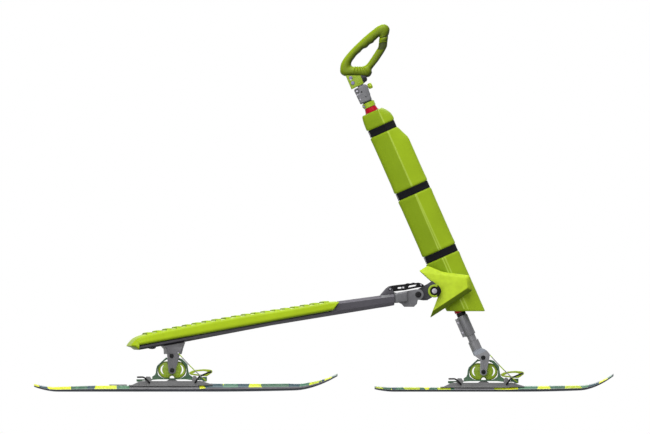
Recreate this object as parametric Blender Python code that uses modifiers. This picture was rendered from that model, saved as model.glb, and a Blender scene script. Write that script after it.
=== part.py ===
"""Ski trike: three skis, two leaning rear arms with foot decks, a raked steering column.

Metres, +Z up, +X forward. The rider's right side is -Y. The origin is the bottom centre
of the bounding box. Outlines are listed in millimetres and scaled by MM.
"""

import math

import bmesh
import bpy
from mathutils import Matrix, Vector
from mathutils.geometry import tessellate_polygon

MM = 0.001

# Overall layout
GAP = 0.3 * MM              # running or assembly gap between touching pieces
RAKE = math.radians(23.8)   # lean-back of the steering column
COLUMN_X = 361.5 * MM       # a point on the steering axis
COLUMN_Z = 309.8 * MM
SPLAY = math.radians(10.5)  # outward angle of each rear arm in plan
FOLD_X = 274.2 * MM         # fold pivot of the rear arms
FOLD_Z = 281.6 * MM
REAR_X = -440.1 * MM        # pivot of the rear ski units
FRONT_X = 463.3 * MM        # pivot of the front ski unit
PIVOT_RISE = 44.0 * MM      # ski top to ski pivot

# Skis
REAR_SKI_THICK = 18.0 * MM
FRONT_SKI_THICK = 13.0 * MM
REAR_TAIL, REAR_TIP = -400.2 * MM, 480.0 * MM      # ends of a rear ski from its pivot
FRONT_TAIL, FRONT_TIP = -316.1 * MM, 377.0 * MM
SKI_BASE_THICK = 2.6 * MM
WIRE_R = 2.0 * MM           # bail wire

# Bolts and bores
FORK_BOLT_R = 4.0 * MM
FORK_BOLT_HEAD_R = 6.5 * MM
KNUCKLE_BOLT_R = 6.0 * MM
KNUCKLE_HEAD_R = 8.7 * MM
HUB_BOLT_R = 4.5 * MM
HUB_HEAD_R = 7.7 * MM
LATCH_PIN_R = 3.5 * MM

# Truck and fork
TRUCK_HALF = 22.0 * MM
LEG_THICK = 6.9 * MM
FORK_INNER = TRUCK_HALF + 2 * GAP
FORK_OUTER = FORK_INNER + LEG_THICK

# Pad, star cover, yoke arm and knuckle, from the middle plane outwards
PAD_HALF = 50.0 * MM
COVER_THICK = 19.7 * MM
YOKE_THICK = 19.7 * MM
BOSS_STAND = 6.0 * MM       # boss of the yoke arm, out to the knuckle
CHEEK_THICK = 16.7 * MM
CHEEK_INSET = 8.3 * MM      # inner face of the knuckle to the arm's middle line
COVER_IN = PAD_HALF + GAP
COVER_OUT = COVER_IN + COVER_THICK
YOKE_IN = COVER_OUT + GAP
YOKE_OUT = YOKE_IN + YOKE_THICK
CHEEK_IN = YOKE_OUT + BOSS_STAND + GAP
CHEEK_OUT = CHEEK_IN + CHEEK_THICK
FOLD_Y = CHEEK_IN + CHEEK_INSET
REAR_Y = FOLD_Y + (FOLD_X - REAR_X) * math.tan(SPLAY)
RAIL_HALF = 24.0 * MM
DECK_HALF = 48.5 * MM

# Tubes of the column, one inside another
STEM_R = 9.0 * MM
STEM_WALL = 2.0 * MM
STEERER_WALL = 2.7 * MM
COLUMN_WALL = 3.2 * MM
STEERER_R = STEM_R + GAP + STEERER_WALL
COLUMN_TUBE_R = STEERER_R + GAP + COLUMN_WALL
HUB_F = -44.1 * MM          # lean hub, behind the steering axis
HUB_TUBE_R = 12.7 * MM
HUB_RING_R = 19.0 * MM

# Heights along the steering axis
COLUMN_LOW = -78.0 * MM
COLUMN_TOP = 548.0 * MM
BUSHING_TALL = 15.6 * MM
COLLAR_TALL = 14.6 * MM
HEAD_TALL = 50.3 * MM
STEERER_LOW = -150.0 * MM
STEM_LOW = 380.0 * MM
BUSHING_BASE = COLUMN_TOP + GAP
COLLAR_BASE = BUSHING_BASE + BUSHING_TALL + GAP
HEAD_BASE = COLLAR_BASE + COLLAR_TALL + 7 * GAP
BRACKET_BASE = HEAD_BASE + HEAD_TALL + 2 * GAP
STEERER_TOP = HEAD_BASE + 24.0 * MM
STEM_TOP = BRACKET_BASE + 23.0 * MM
PIN_RISE = 39.0 * MM        # height pin above the base of the head
PIN_U = HEAD_BASE + PIN_RISE
PIN_R = 3.0 * MM
STRAP_WIDE = 21.0 * MM
STRAPS = ((80.5, 66.5), (281.0, 66.5), (COLUMN_TOP / MM - 67.5, 48.5))   # low edge, pad front
GRIP_HALF = 14.0 * MM
GRIP_LIFT = BRACKET_BASE - 632.0 * MM   # the grip's outline is drawn for a bracket at 632
BRACKET_BOLTS = ((-18.5, 14.9), (-18.5, 28.5), (17.9, 11.7))

COLORS = {
    "ski_top": ((0.20, 0.42, 0.22), 0.0, 0.35),
    "binding_grey": ((0.15, 0.15, 0.16), 0.0, 0.55),
    "truck_green": ((0.065, 0.12, 0.06), 0.0, 0.5),
    "elastomer_yellow": ((0.17, 0.27, 0.01), 0.0, 0.5),
    "bolt_black": ((0.02, 0.02, 0.022), 0.6, 0.4),
    "wire_dark": ((0.08, 0.08, 0.085), 0.9, 0.35),
    "lever_green": ((0.36, 0.46, 0.02), 0.0, 0.4),
    "yoke_dark": ((0.04, 0.04, 0.042), 0.3, 0.5),
    "cast_grey": ((0.19, 0.19, 0.2), 0.7, 0.4),
    "bolt_silver": ((0.55, 0.53, 0.54), 1.0, 0.25),
    "rail_grey": ((0.07, 0.068, 0.075), 0.7, 0.45),
    "deck_foam": ((0.42, 0.57, 0.02), 0.0, 0.8),
    "latch_black": ((0.012, 0.012, 0.013), 0.0, 0.4),
    "tube_grey": ((0.2, 0.2, 0.21), 0.8, 0.35),
    "ring_green": ((0.3, 0.45, 0.03), 0.0, 0.4),
    "pad_green": ((0.27, 0.38, 0.012), 0.0, 0.55),
    "strap_black": ((0.012, 0.012, 0.012), 0.0, 0.8),
    "star_green": ((0.33, 0.5, 0.03), 0.0, 0.4),
    "bushing_red": ((0.42, 0.005, 0.02), 0.0, 0.35),
    "bracket_green": ((0.23, 0.34, 0.015), 0.1, 0.4),
    "grip_green": ((0.12, 0.15, 0.004), 0.0, 0.35),
}

X_AXIS = Vector((1.0, 0.0, 0.0))
Y_AXIS = Vector((0.0, 1.0, 0.0))
Z_AXIS = Vector((0.0, 0.0, 1.0))

PARTS = None
CUTTERS = None
MATERIALS = {}


def clear_scene():
    """Remove every object, then make the two collections."""
    global PARTS, CUTTERS
    for ob in list(bpy.data.objects):
        bpy.data.objects.remove(ob, do_unlink=True)
    PARTS = bpy.data.collections.new("ski_trike")
    CUTTERS = bpy.data.collections.new("cutters")
    for group in (PARTS, CUTTERS):
        bpy.context.scene.collection.children.link(group)


def material(slot):
    """Return the material of a slot, made once."""
    if slot not in MATERIALS:
        color, metallic, roughness = COLORS[slot]
        mat = bpy.data.materials.new(slot)
        mat.use_nodes = True
        shader = mat.node_tree.nodes["Principled BSDF"]
        shader.inputs["Base Color"].default_value = (*color, 1.0)
        shader.inputs["Metallic"].default_value = metallic
        shader.inputs["Roughness"].default_value = roughness
        mat.diffuse_color = (*color, 1.0)
        MATERIALS[slot] = mat
    return MATERIALS[slot]


def empty(name, location, rotation=(0.0, 0.0, 0.0), parent=None):
    """Add an empty that carries a joint's frame."""
    ob = bpy.data.objects.new(name, None)
    ob.empty_display_size = 0.03
    ob.location = location
    ob.rotation_euler = rotation
    ob.parent = parent
    PARTS.objects.link(ob)
    return ob


def from_bmesh(name, bm):
    """Turn a bmesh into an object with outward normals."""
    bmesh.ops.recalc_face_normals(bm, faces=bm.faces)
    mesh = bpy.data.meshes.new(name)
    bm.to_mesh(mesh)
    bm.free()
    ob = bpy.data.objects.new(name, mesh)
    PARTS.objects.link(ob)
    return ob


def from_evaluated(name, source):
    """Make a mesh object from a curve or modified object and remove the source."""
    bpy.context.view_layer.update()
    graph = bpy.context.evaluated_depsgraph_get()
    mesh = bpy.data.meshes.new_from_object(source.evaluated_get(graph))
    mesh.transform(source.matrix_world)
    bpy.data.objects.remove(source, do_unlink=True)
    bm = bmesh.new()
    bm.from_mesh(mesh)
    bpy.data.meshes.remove(mesh)
    bmesh.ops.remove_doubles(bm, verts=bm.verts, dist=1e-6)
    bmesh.ops.dissolve_degenerate(bm, edges=bm.edges, dist=1e-6)
    return from_bmesh(name, bm)


def basis(axis):
    """Rotation that takes +Z to an axis and keeps +Y where it can."""
    axis = axis.normalized()
    side = Y_AXIS if abs(axis.y) < 0.9 else X_AXIS
    first = side.cross(axis).normalized()
    return Matrix((first, axis.cross(first), axis)).transposed().to_4x4()


def turned(name, profile, steps=24, centre=(0, 0, 0), axis=Z_AXIS, closed=False):
    """Screw a profile of (radius, height) pairs, running down its outer side."""
    mesh = bpy.data.meshes.new(name)
    verts = [(r, 0.0, h) for r, h in profile]
    edges = [(i, i + 1) for i in range(len(verts) - 1)]
    if closed:
        edges.append((len(verts) - 1, 0))
    mesh.from_pydata(verts, edges, [])
    source = bpy.data.objects.new(name, mesh)
    PARTS.objects.link(source)
    screw = source.modifiers.new("turn", "SCREW")
    screw.axis = "Z"
    screw.angle = math.tau
    screw.steps = steps
    screw.render_steps = steps
    screw.use_merge_vertices = True
    screw.merge_threshold = 0.00001
    source.matrix_world = Matrix.Translation(Vector(centre)) @ basis(Vector(axis))
    return from_evaluated(name, source)


def rod(name, radius, start, end, steps=20, chamfer=0.0):
    """A solid round bar between two points."""
    start, end = Vector(start), Vector(end)
    length = (end - start).length
    profile = [(0.0, length), (radius - chamfer, length)]
    if chamfer:
        profile += [(radius, length - chamfer), (radius, chamfer)]
    else:
        profile += [(radius, 0.0)]
    if chamfer:
        profile += [(radius - chamfer, 0.0)]
    profile += [(0.0, 0.0)]
    return turned(name, profile, steps, start, end - start)


def ring(name, outer, inner, start, end, steps=24):
    """A plain sleeve between two points."""
    start, end = Vector(start), Vector(end)
    length = (end - start).length
    profile = [(outer, length), (outer, 0.0), (inner, 0.0), (inner, length)]
    return turned(name, profile, steps, start, end - start, closed=True)


def bolt(name, shaft_r, head_r, start, end, head, nut=0.0, steps=20):
    """A bolt from start to end, with a chamfered head at the end and a nut at the start."""
    start, end = Vector(start), Vector(end)
    length = (end - start).length
    edge = 0.15 * head_r
    top = length + head
    profile = [(0.0, top), (head_r - edge, top), (head_r, top - edge), (head_r, length)]
    profile += [(shaft_r, length)]
    if nut:
        profile += [(shaft_r, 0.0), (head_r, 0.0), (head_r, -nut), (0.0, -nut)]
    else:
        profile += [(shaft_r, 0.0), (0.0, 0.0)]
    return turned(name, profile, steps, start, end - start)


def rounded(points, radius, steps=3, cyclic=False):
    """Round the corners of a path or outline."""
    points = [Vector(p) for p in points]
    out = []
    count = len(points)
    for i, corner in enumerate(points):
        if not cyclic and i in (0, count - 1):
            out.append(corner)
            continue
        before = points[i - 1] - corner
        after = points[(i + 1) % count] - corner
        cut = min(radius, 0.45 * before.length, 0.45 * after.length)
        first = corner + before.normalized() * cut
        last = corner + after.normalized() * cut
        for k in range(steps + 1):
            t = k / steps
            out.append((1 - t) ** 2 * first + 2 * t * (1 - t) * corner + t * t * last)
    return out


def tube(name, points, radius, cyclic=False, sides=8):
    """A round bar along a path of points."""
    data = bpy.data.curves.new(name, "CURVE")
    data.dimensions = "3D"
    data.bevel_depth = radius
    data.bevel_resolution = (sides - 4) // 2
    data.use_fill_caps = not cyclic
    spline = data.splines.new("POLY")
    spline.points.add(len(points) - 1)
    for point, place in zip(spline.points, points):
        point.co = (*place, 1.0)
    spline.use_cyclic_u = cyclic
    source = bpy.data.objects.new(name, data)
    PARTS.objects.link(source)
    return from_evaluated(name, source)


def plate(name, loops, low, high, axis="Y"):
    """A flat outline with holes, filled and extruded along Y or along Z.

    Outlines for Y are (x, z) pairs, and for Z they are (x, y) pairs, in metres.
    """
    data = bpy.data.curves.new(name, "CURVE")
    data.dimensions = "2D"
    data.fill_mode = "BOTH"
    data.extrude = abs(high - low) / 2
    for loop in loops:
        spline = data.splines.new("POLY")
        spline.points.add(len(loop) - 1)
        for point, place in zip(spline.points, loop):
            point.co = (place[0], place[1], 0.0, 1.0)
        spline.use_cyclic_u = True
    source = bpy.data.objects.new(name, data)
    PARTS.objects.link(source)
    middle = (low + high) / 2
    if axis == "Y":
        source.rotation_euler = (math.pi / 2, 0.0, 0.0)
        source.location = (0.0, middle, 0.0)
    else:
        source.location = (0.0, 0.0, middle)
    return from_evaluated(name, source)


def inset(loop, distance):
    """Offset a closed outline inward, or outward for a negative distance."""
    count = len(loop)
    area = sum(loop[i - 1][0] * loop[i][1] - loop[i][0] * loop[i - 1][1] for i in range(count))
    turn = 1.0 if area > 0 else -1.0
    out = []
    for i in range(count):
        here = Vector(loop[i][:2])
        before = (here - Vector(loop[i - 1][:2])).normalized()
        after = (Vector(loop[(i + 1) % count][:2]) - here).normalized()
        normal_1 = Vector((-before.y, before.x)) * turn
        normal_2 = Vector((-after.y, after.x)) * turn
        out.append(here + (normal_1 + normal_2) * (distance / (1.0 + normal_1.dot(normal_2))))
    return out


def stack(name, loops, layers, axis="Y"):
    """Loft an outline with holes through layers of (inset, height), for eased edges."""
    bm = bmesh.new()
    rows = []
    for amount, height in layers:
        row = []
        for k, loop in enumerate(loops):
            moved = inset(loop, amount if k == 0 else -amount)
            if axis == "Y":
                row.append([bm.verts.new((p[0], height, p[1])) for p in moved])
            else:
                row.append([bm.verts.new((p[0], p[1], height)) for p in moved])
        rows.append(row)
    for low, high in zip(rows, rows[1:]):
        for lower, upper in zip(low, high):
            for i in range(len(lower)):
                j = (i + 1) % len(lower)
                bm.faces.new((lower[i], lower[j], upper[j], upper[i]))
    for row in (rows[0], rows[-1]):
        flat = [v for loop in row for v in loop]
        if axis == "Y":
            polygons = [[Vector((v.co.x, v.co.z, 0.0)) for v in loop] for loop in row]
        else:
            polygons = [[Vector((v.co.x, v.co.y, 0.0)) for v in loop] for loop in row]
        for tri in tessellate_polygon(polygons):
            bm.faces.new([flat[i] for i in tri])
    return from_bmesh(name, bm)


def loft(name, sections):
    """Join rings of points that all have the same count, and cap both ends."""
    bm = bmesh.new()
    rows = [[bm.verts.new(p) for p in section] for section in sections]
    count = len(rows[0])
    for low, high in zip(rows, rows[1:]):
        for i in range(count):
            j = (i + 1) % count
            bm.faces.new((low[i], low[j], high[j], high[i]))
    bm.faces.new(rows[0])
    bm.faces.new(rows[-1])
    return from_bmesh(name, bm)


def box(name, low, high, edge=0.0):
    """A block between two corners, with eased edges where asked."""
    bm = bmesh.new()
    bmesh.ops.create_cube(bm, size=1.0)
    low, high = Vector(low), Vector(high)
    for v in bm.verts:
        v.co = Vector(((low[k] + high[k]) / 2 + v.co[k] * (high[k] - low[k]) for k in range(3)))
    ob = from_bmesh(name, bm)
    if edge:
        bevel = ob.modifiers.new("edge", "BEVEL")
        bevel.width = edge
        bevel.segments = 2
        ob = from_evaluated(name, ob)
    return ob


def moved(ob, matrix):
    """Transform a mesh in place."""
    ob.data.transform(matrix)
    return ob


def boolean(target, tools, operation):
    """Apply exact Booleans with helper solids."""
    for k, tool in enumerate(tools):
        PARTS.objects.unlink(tool)
        CUTTERS.objects.link(tool)
        tool.name = target.name + "_tool%d" % k
        tool.display_type = "WIRE"
        tool.hide_render = True
        modifier = target.modifiers.new("op%d" % k, "BOOLEAN")
        modifier.operation = operation
        modifier.solver = "EXACT"
        modifier.object = tool
    bpy.context.view_layer.update()
    graph = bpy.context.evaluated_depsgraph_get()
    mesh = bpy.data.meshes.new_from_object(target.evaluated_get(graph))
    target.modifiers.clear()
    old = target.data
    target.data = mesh
    bpy.data.meshes.remove(old)
    for tool in tools:
        bpy.data.objects.remove(tool, do_unlink=True)
    bm = bmesh.new()
    bm.from_mesh(target.data)
    bmesh.ops.remove_doubles(bm, verts=bm.verts, dist=2e-6)
    bmesh.ops.dissolve_degenerate(bm, edges=bm.edges, dist=2e-6)
    bm.to_mesh(target.data)
    bm.free()
    return target


def cut(target, *tools):
    """Take solids away from a target."""
    return boolean(target, tools, "DIFFERENCE")


def fuse(target, *tools):
    """Join overlapping solids into a target."""
    return boolean(target, tools, "UNION")


def gather(name, *obs):
    """Put several separate solids into one object."""
    bm = bmesh.new()
    for ob in obs:
        bm.from_mesh(ob.data)
        bpy.data.objects.remove(ob, do_unlink=True)
    mesh = bpy.data.meshes.new(name)
    bm.to_mesh(mesh)
    bm.free()
    out = bpy.data.objects.new(name, mesh)
    PARTS.objects.link(out)
    return out


def finish(ob, name, slot, parent, smooth=None, at=None):
    """Name, colour, shade and parent a piece whose mesh is in its parent's frame."""
    ob.name = name
    ob.data.name = name
    ob.data.materials.clear()
    ob.data.materials.append(material(slot))
    if smooth:
        ob.data.shade_smooth()
        ob.data.set_sharp_from_angle(angle=math.radians(smooth))
    else:
        ob.data.shade_flat()
    if at is not None:
        place = Vector(at)
        ob.data.transform(Matrix.Translation(-place))
        ob.location = place
    ob.parent = parent
    return ob


def mm(points):
    """Outline points in millimetres, as vectors in metres."""
    return [Vector(p) * MM for p in points]


def circle(x, y, radius, count=20, start=0.0):
    """Points round a circle."""
    steps = (start + math.tau * k / count for k in range(count))
    return [Vector((x + radius * math.cos(a), y + radius * math.sin(a))) for a in steps]


def arc(x, y, radius, first, last, count):
    """Points along an arc, with angles in degrees."""
    out = []
    for k in range(count + 1):
        a = math.radians(first + (last - first) * k / count)
        out.append(Vector((x + radius * math.cos(a), y + radius * math.sin(a))))
    return out


def ski_sections(thick, tail, tip, tip_rise, tail_rise):
    """Rings of points along a ski, from tail to tip, about its own pivot."""
    waist, wide_tip, wide_tail = 37.5 * MM, 52.5 * MM, 47.5 * MM
    tip_length, tail_length = 0.14 * (tip - tail), 0.08 * (tip - tail)
    end_thick = 9.0 * MM
    flat = 135.0 * MM
    spots = [tail + d * MM for d in (0, 2, 6, 13, 26, 44)]
    spots += [tail + tail_length + 12 * MM, -flat - 70 * MM, -flat, flat]
    spots += [flat + (tip - tip_length - flat) * k / 4 for k in (1, 2, 3)]
    spots += [tip - tip_length * k for k in (1.0, 0.84, 0.68, 0.53, 0.4, 0.28, 0.17, 0.08, 0.025, 0)]
    rings = []
    for x in sorted(spots):
        grow = x / (tip - tip_length) if x > 0 else x / (tail + tail_length)
        wide = wide_tip if x > 0 else wide_tail
        half = waist + (wide - waist) * min(abs(grow), 1.0) ** 2
        end = max((x - tip + 0.62 * tip_length) / (0.62 * tip_length), 0.0)
        back = max((tail + 0.4 * tail_length - x) / (0.4 * tail_length), 0.0)
        half *= max(1.0 - end ** 2.4, 0.02) ** 0.5 * (1.0 - 0.45 * back ** 3)
        lift = tip_rise * max((x - tip + tip_length) / tip_length, 0.0) ** 1.8
        lift += tail_rise * max((tail + tail_length - x) / tail_length, 0.0) ** 1.8
        run = (tip if x > 0 else tail) - math.copysign(flat, x)
        fall = max((abs(x) - flat) / abs(run), 0.0)
        high = thick + (end_thick - thick) * min(fall, 1.0) ** 0.8
        low = -PIVOT_RISE - thick + lift
        slope = min(11.0 * MM, 0.6 * half)
        wall = min(SKI_BASE_THICK + 4.4 * MM, 0.6 * high)
        ring_points = [(half, 0.0), (half, wall), (half - slope, high)]
        ring_points += [(slope - half, high), (-half, wall), (-half, 0.0)]
        rings.append([Vector((x, y, low + z)) for y, z in ring_points])
    return rings


def binding_plate(name):
    """Plate on the ski with slanted ends, four side lugs and the bores of the bails."""
    side = mm([(-125, -43.7), (118, -43.7), (118, -41), (80, -29.5), (75, -32.5)])
    side += mm([(-92, -32.5), (-116, -42.3), (-125, -42.3)])
    body = plate(name, [side], -38 * MM, 38 * MM)
    lugs = []
    for s in (-1, 1):
        lower, upper = sorted((s * 33.3 * MM, s * 38 * MM))
        heel = mm([(-79, -40), (-58, -40), (-60, -24), (-64, -18), (-75, -18), (-78, -24)])
        toe = mm([(57, -41), (75, -41), (72, -20), (68, -16), (62, -16), (59.5, -21)])
        lugs.append(plate("lug", [heel], lower, upper))
        lugs.append(plate("lug", [toe], lower, upper))
    body = fuse(body, *lugs)
    bores = []
    for x in (-65.3 * MM, 67 * MM):
        start, end = (x, -42 * MM, -36 * MM), (x, 42 * MM, -36 * MM)
        bores.append(rod("bore", WIRE_R + GAP, start, end, 10))
    return cut(body, *bores)


def truck(name):
    """Arched housing open at both sides, fused to the sole with its two lugs."""
    outer = mm([(-57, -31), (-57.5, -18.5), (-50, -13.3), (-47, -7.3), (-46, 4), (-43, 13.3)])
    outer += mm([(-29, 26.7), (-17, 37.6), (-12, 35.2), (-4, 36.4), (5, 36.2), (13, 34.6)])
    outer += mm([(21, 35.7), (30, 32.5), (44.7, 17.7), (48, -4.4), (51, -13.3), (60, -19)])
    outer += mm([(58, -31)])
    inner = mm([(-24, -26.3), (-31.5, -22), (-39.5, -14), (-41.5, -7), (-41.5, 3), (-38.5, 11)])
    inner += mm([(-31, 19.4), (-24, 25.3), (-16, 31), (-6, 31.6), (6, 31.4), (16, 30.5)])
    inner += mm([(24, 27), (31, 21), (38.5, 12), (41.8, 3), (41.5, -7), (39.5, -14)])
    inner += mm([(31.5, -22), (24, -26.3)])
    arch = stack(name, [outer, inner], [(1 * MM, -TRUCK_HALF), (0, MM - TRUCK_HALF),
                                        (0, TRUCK_HALF - MM), (1 * MM, TRUCK_HALF)])
    sole = mm([(-103, -26), (-80, -26), (-74, -27.4), (60, -27), (78, -24.5), (81, -19)])
    sole += mm([(101.5, -19), (101.5, -31.5), (98, -33), (84, -28.8), (78, -28.3), (70, -30.1)])
    sole += mm([(40, -29.9), (34, -32.2), (-34, -32.1), (-40, -29.7), (-86, -30.2), (-93, -32)])
    sole += mm([(-99, -33.6), (-103, -32)])
    return fuse(arch, plate("sole", [sole], -33 * MM, 33 * MM))


def elastomer(name):
    """Two-lobed soft block with a bolt hole, an arc slot in each lobe and a notch below."""
    outline = arc(-17.5, -1, 23.5, 42, 262, 11)
    outline += [Vector((-9, -25.8)), Vector((-7.4, -25.8))]
    outline += arc(0, -24.6, 7, 180, 0, 6)
    outline += [Vector((7.4, -25.8)), Vector((9, -25.8))]
    outline += arc(17.5, -1, 23.5, -82, 138, 11)
    loops = [mm(outline), circle(0, 0, FORK_BOLT_R + GAP, 12)]
    for s in (-1, 1):
        slot = arc(20, -1.5, 16.3, -78, 78, 7) + arc(20, -1.5, 11.1, 78, -78, 5)
        loops.append(mm([(s * p.x, p.y) for p in slot]))
    half = TRUCK_HALF - 2 * MM
    return stack(name, loops, [(0, -half), (0, half)])


def fork_legs(name, outline):
    """The two legs of a clevis with their bolt holes, about the ski pivot."""
    hole = circle(0, 0, FORK_BOLT_R + GAP, 12)
    layers = [(0, FORK_INNER), (0, FORK_OUTER)]
    return [stack(name, [outline, hole], [(d, s * h) for d, h in layers]) for s in (-1, 1)]


def pivot_bolt(name):
    """Bolt through both legs of a fork, on the ski's pitch axis."""
    reach = FORK_OUTER + GAP
    start, end = (0, reach, 0), (0, -reach, 0)
    return bolt(name, FORK_BOLT_R, FORK_BOLT_HEAD_R, start, end, 4 * MM, 4 * MM, 16)


def bail(name, path, corner):
    """A wire hoop, mirrored about the middle plane, from one side bore to the other."""
    half = [Vector(p) * MM for p in path]
    other = [Vector((p.x, -p.y, p.z)) for p in reversed(half)]
    return tube(name, rounded(half + other, corner, 2), WIRE_R, sides=8)


def toe_lever(name):
    """Looped closing lever with its eye on the crossbar."""
    outline = mm([(55, -13.3), (50.5, -10), (49.3, -6.3), (58, -1.5), (70, 1.5), (92, 3.4)])
    outline += mm([(105, 2.6)]) + mm(arc(112.2, -3.8, 5.2, 78, -78, 6))
    outline += mm([(106.5, -14), (101, -17.4), (80, -16.5)])
    inner = mm([(60, -9.5), (71, -3.6), (90, -2.2), (101, -3.6), (102.6, -9), (97, -12.8)])
    inner += mm([(80, -12)])
    eye = circle(112.2 * MM, -3.8 * MM, WIRE_R + GAP, 12)
    return stack(name, [outline, inner, eye], [(0.9 * MM, -14 * MM), (0, -13 * MM), (0, 13 * MM),
                                               (0.9 * MM, 14 * MM)])


def ski_unit(prefix, fork_frame, pivot, rotation, thick, tail, tip, tail_lift):
    """One ski with its binding, truck, elastomer, bails and lever."""
    frame = empty(prefix + "pitch_axis", pivot, rotation, fork_frame)
    ski = loft(prefix + "ski", ski_sections(thick, tail, tip, 45 * MM, tail_lift))
    finish(ski, prefix + "ski", "ski_top", frame)
    finish(binding_plate("binding"), prefix + "binding_plate", "binding_grey", frame)
    finish(truck("truck"), prefix + "truck", "truck_green", frame)
    finish(elastomer("elastomer"), prefix + "elastomer", "elastomer_yellow", frame)
    pin = moved(pivot_bolt("pin"), Matrix.Translation(pivot) @ rotation_matrix(rotation))
    finish(pin, prefix + "pivot_bolt", "bolt_black", fork_frame, 40)
    toe_pivot = Vector((67, 0, -36)) * MM
    toe_frame = empty(prefix + "toe_bail_axis", toe_pivot, parent=frame)
    bar = Vector((112.2, 0, -3.8)) * MM
    path = [(67, -33.6, -36), (67, -41, -36), (78.9, -41, -17.7), (112.2, -30, -3.8)]
    hoop = moved(bail("bail", path, 5 * MM), Matrix.Translation(-toe_pivot))
    finish(hoop, prefix + "toe_bail", "wire_dark", toe_frame, 50)
    lever = moved(toe_lever("lever"), Matrix.Translation(-bar))
    lever_frame = empty(prefix + "toe_lever_axis", bar - toe_pivot, parent=toe_frame)
    finish(lever, prefix + "toe_lever", "lever_green", lever_frame)
    heel_pivot = Vector((-65.3, 0, -36)) * MM
    heel_frame = empty(prefix + "heel_bail_axis", heel_pivot, parent=frame)
    path = [(-65.3, -33.6, -36), (-65.3, -41, -36), (-79.8, -41, -22.9), (-98.6, -34, -22.4)]
    hoop = moved(bail("bail", path, 5 * MM), Matrix.Translation(-heel_pivot))
    finish(hoop, prefix + "heel_bail", "wire_dark", heel_frame, 50)
    return frame


def rotation_matrix(rotation):
    """Matrix of three Euler angles about Z, Y and X."""
    turn = Matrix.Rotation(rotation[2], 4, "Z") @ Matrix.Rotation(rotation[1], 4, "Y")
    return turn @ Matrix.Rotation(rotation[0], 4, "X")


def column_point(f, u):
    """World place of a point given forward of and up the steering axis."""
    x = COLUMN_X + f * math.cos(RAKE) - u * math.sin(RAKE)
    return Vector((x, 0.0, COLUMN_Z + f * math.sin(RAKE) + u * math.cos(RAKE)))


def from_fold(points):
    """Side-view outline in world millimetres, moved to the fold pivot."""
    return [Vector((x * MM - FOLD_X, z * MM - FOLD_Z)) for x, z in points]


def from_fold_along(points):
    """The same outline, stretched to run along the splayed arm."""
    return [Vector((p.x / math.cos(SPLAY), p.y)) for p in from_fold(points)]


def yoke_arm(name, side, hub):
    """Plate from the lean hub to the fold pivot, with a boss at the pivot."""
    pivot = Vector((FOLD_X - hub.x, FOLD_Z - hub.z))
    outline = [pivot + p * MM for p in arc(0, 0, 14.5, 105, 262, 9)]
    outline += [pivot + Vector(p) * MM for p in ((14, -17), (26, -16.5))]
    outline += mm(arc(0, 0, 18.6, -108, 70, 9)) + mm([(-4, 27.5), (-9, 28.5)])
    outline += [pivot + Vector(p) * MM for p in ((26, 31), (10, 22.5))]
    bore = [pivot + p for p in circle(0, 0, KNUCKLE_BOLT_R + GAP, 16)]
    layers = [(0, side * YOKE_IN), (0, side * YOKE_OUT)]
    body = stack(name, [outline, circle(0, 0, HUB_TUBE_R + GAP, 24), bore], layers)
    start = Vector((pivot.x, side * (YOKE_OUT - 2 * MM), pivot.y))
    end = Vector((pivot.x, side * (CHEEK_IN - GAP), pivot.y))
    boss = ring("boss", 14 * MM, KNUCKLE_BOLT_R + 2 * GAP, start, end, 16)
    return fuse(body, boss)


def arm_knuckle(name, side):
    """Barrel casting in the fold frame: lap cheek, barrel, lower lug and the latch ear."""
    cheek = mm([(-7, 15.2), (-60, 5.6), (-60, -22), (-49, -27), (-41, -35.5), (-13, -35.5)])
    cheek += mm([(-4, -27)]) + mm(arc(0, 0, 15.5, -95, 98, 12))
    bore = circle(0, 0, KNUCKLE_BOLT_R + GAP, 18)
    low = side * (CHEEK_IN - FOLD_Y)
    high = side * (CHEEK_OUT - FOLD_Y)
    body = stack(name, [cheek, bore], [(0, low), (0, high - side * 1.2 * MM), (1.2 * MM, high)])
    turn = Matrix.Rotation(-side * SPLAY, 4, "Z")
    block = from_fold_along([(202, 284.6), (240, 291.6), (240, 260), (202, 257)])
    barrel = stack("barrel", [block], [(3 * MM, -side * 14 * MM), (0, -side * 11 * MM),
                                       (0, side * 15 * MM), (3 * MM, side * 18 * MM)])
    rivet = from_fold_along([(190.9, 297.3)])[0]
    ear = [rivet + p * MM for p in arc(0, 0, 7, -20, 190, 9)]
    ear += from_fold_along([(186, 291), (202.3, 284.2), (203.2, 277), (222, 284), (204, 288.5)])
    hole = [rivet + p for p in circle(0, 0, LATCH_PIN_R + GAP, 14)]
    tab = plate("ear", [ear, hole], -3 * MM, 3 * MM)
    return fuse(body, moved(barrel, turn), moved(tab, turn))


def latch_lever(name, side, rivet):
    """Black lever over the barrel, forked round the ear, with its own pivot pin."""
    outline = from_fold_along([(183, 300), (184, 292), (191, 288.2), (203, 290.5), (236, 294.5),
                               (262, 300), (280, 303), (289, 305.5), (289.5, 309), (283, 313.5),
                               (274, 316.5), (266, 315), (259, 316.5), (251, 313.6), (243, 314.6),
                               (234, 311.8), (212, 309.6), (198, 307.5), (188, 305)])
    first = from_fold_along([(213, 298.5), (233, 299.8), (234, 304.4), (214, 302.8)])
    second = from_fold_along([(243, 301.8), (266, 306), (270, 311), (247, 307.6)])
    lever = stack(name, [outline, first, second], [(0, -6.5 * MM), (0, 6.5 * MM)])
    slot = box("slot", rivet + Vector((-12, -3.3, -14)) * MM, rivet + Vector((12.5, 3.3, 14)) * MM)
    lever = cut(lever, slot)
    start, end = rivet + Vector((0, 8, 0)) * MM, rivet - Vector((0, 8, 0)) * MM
    return moved(fuse(lever, rod("pin", LATCH_PIN_R, start, end, 14)), Matrix.Translation(-rivet))


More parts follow.
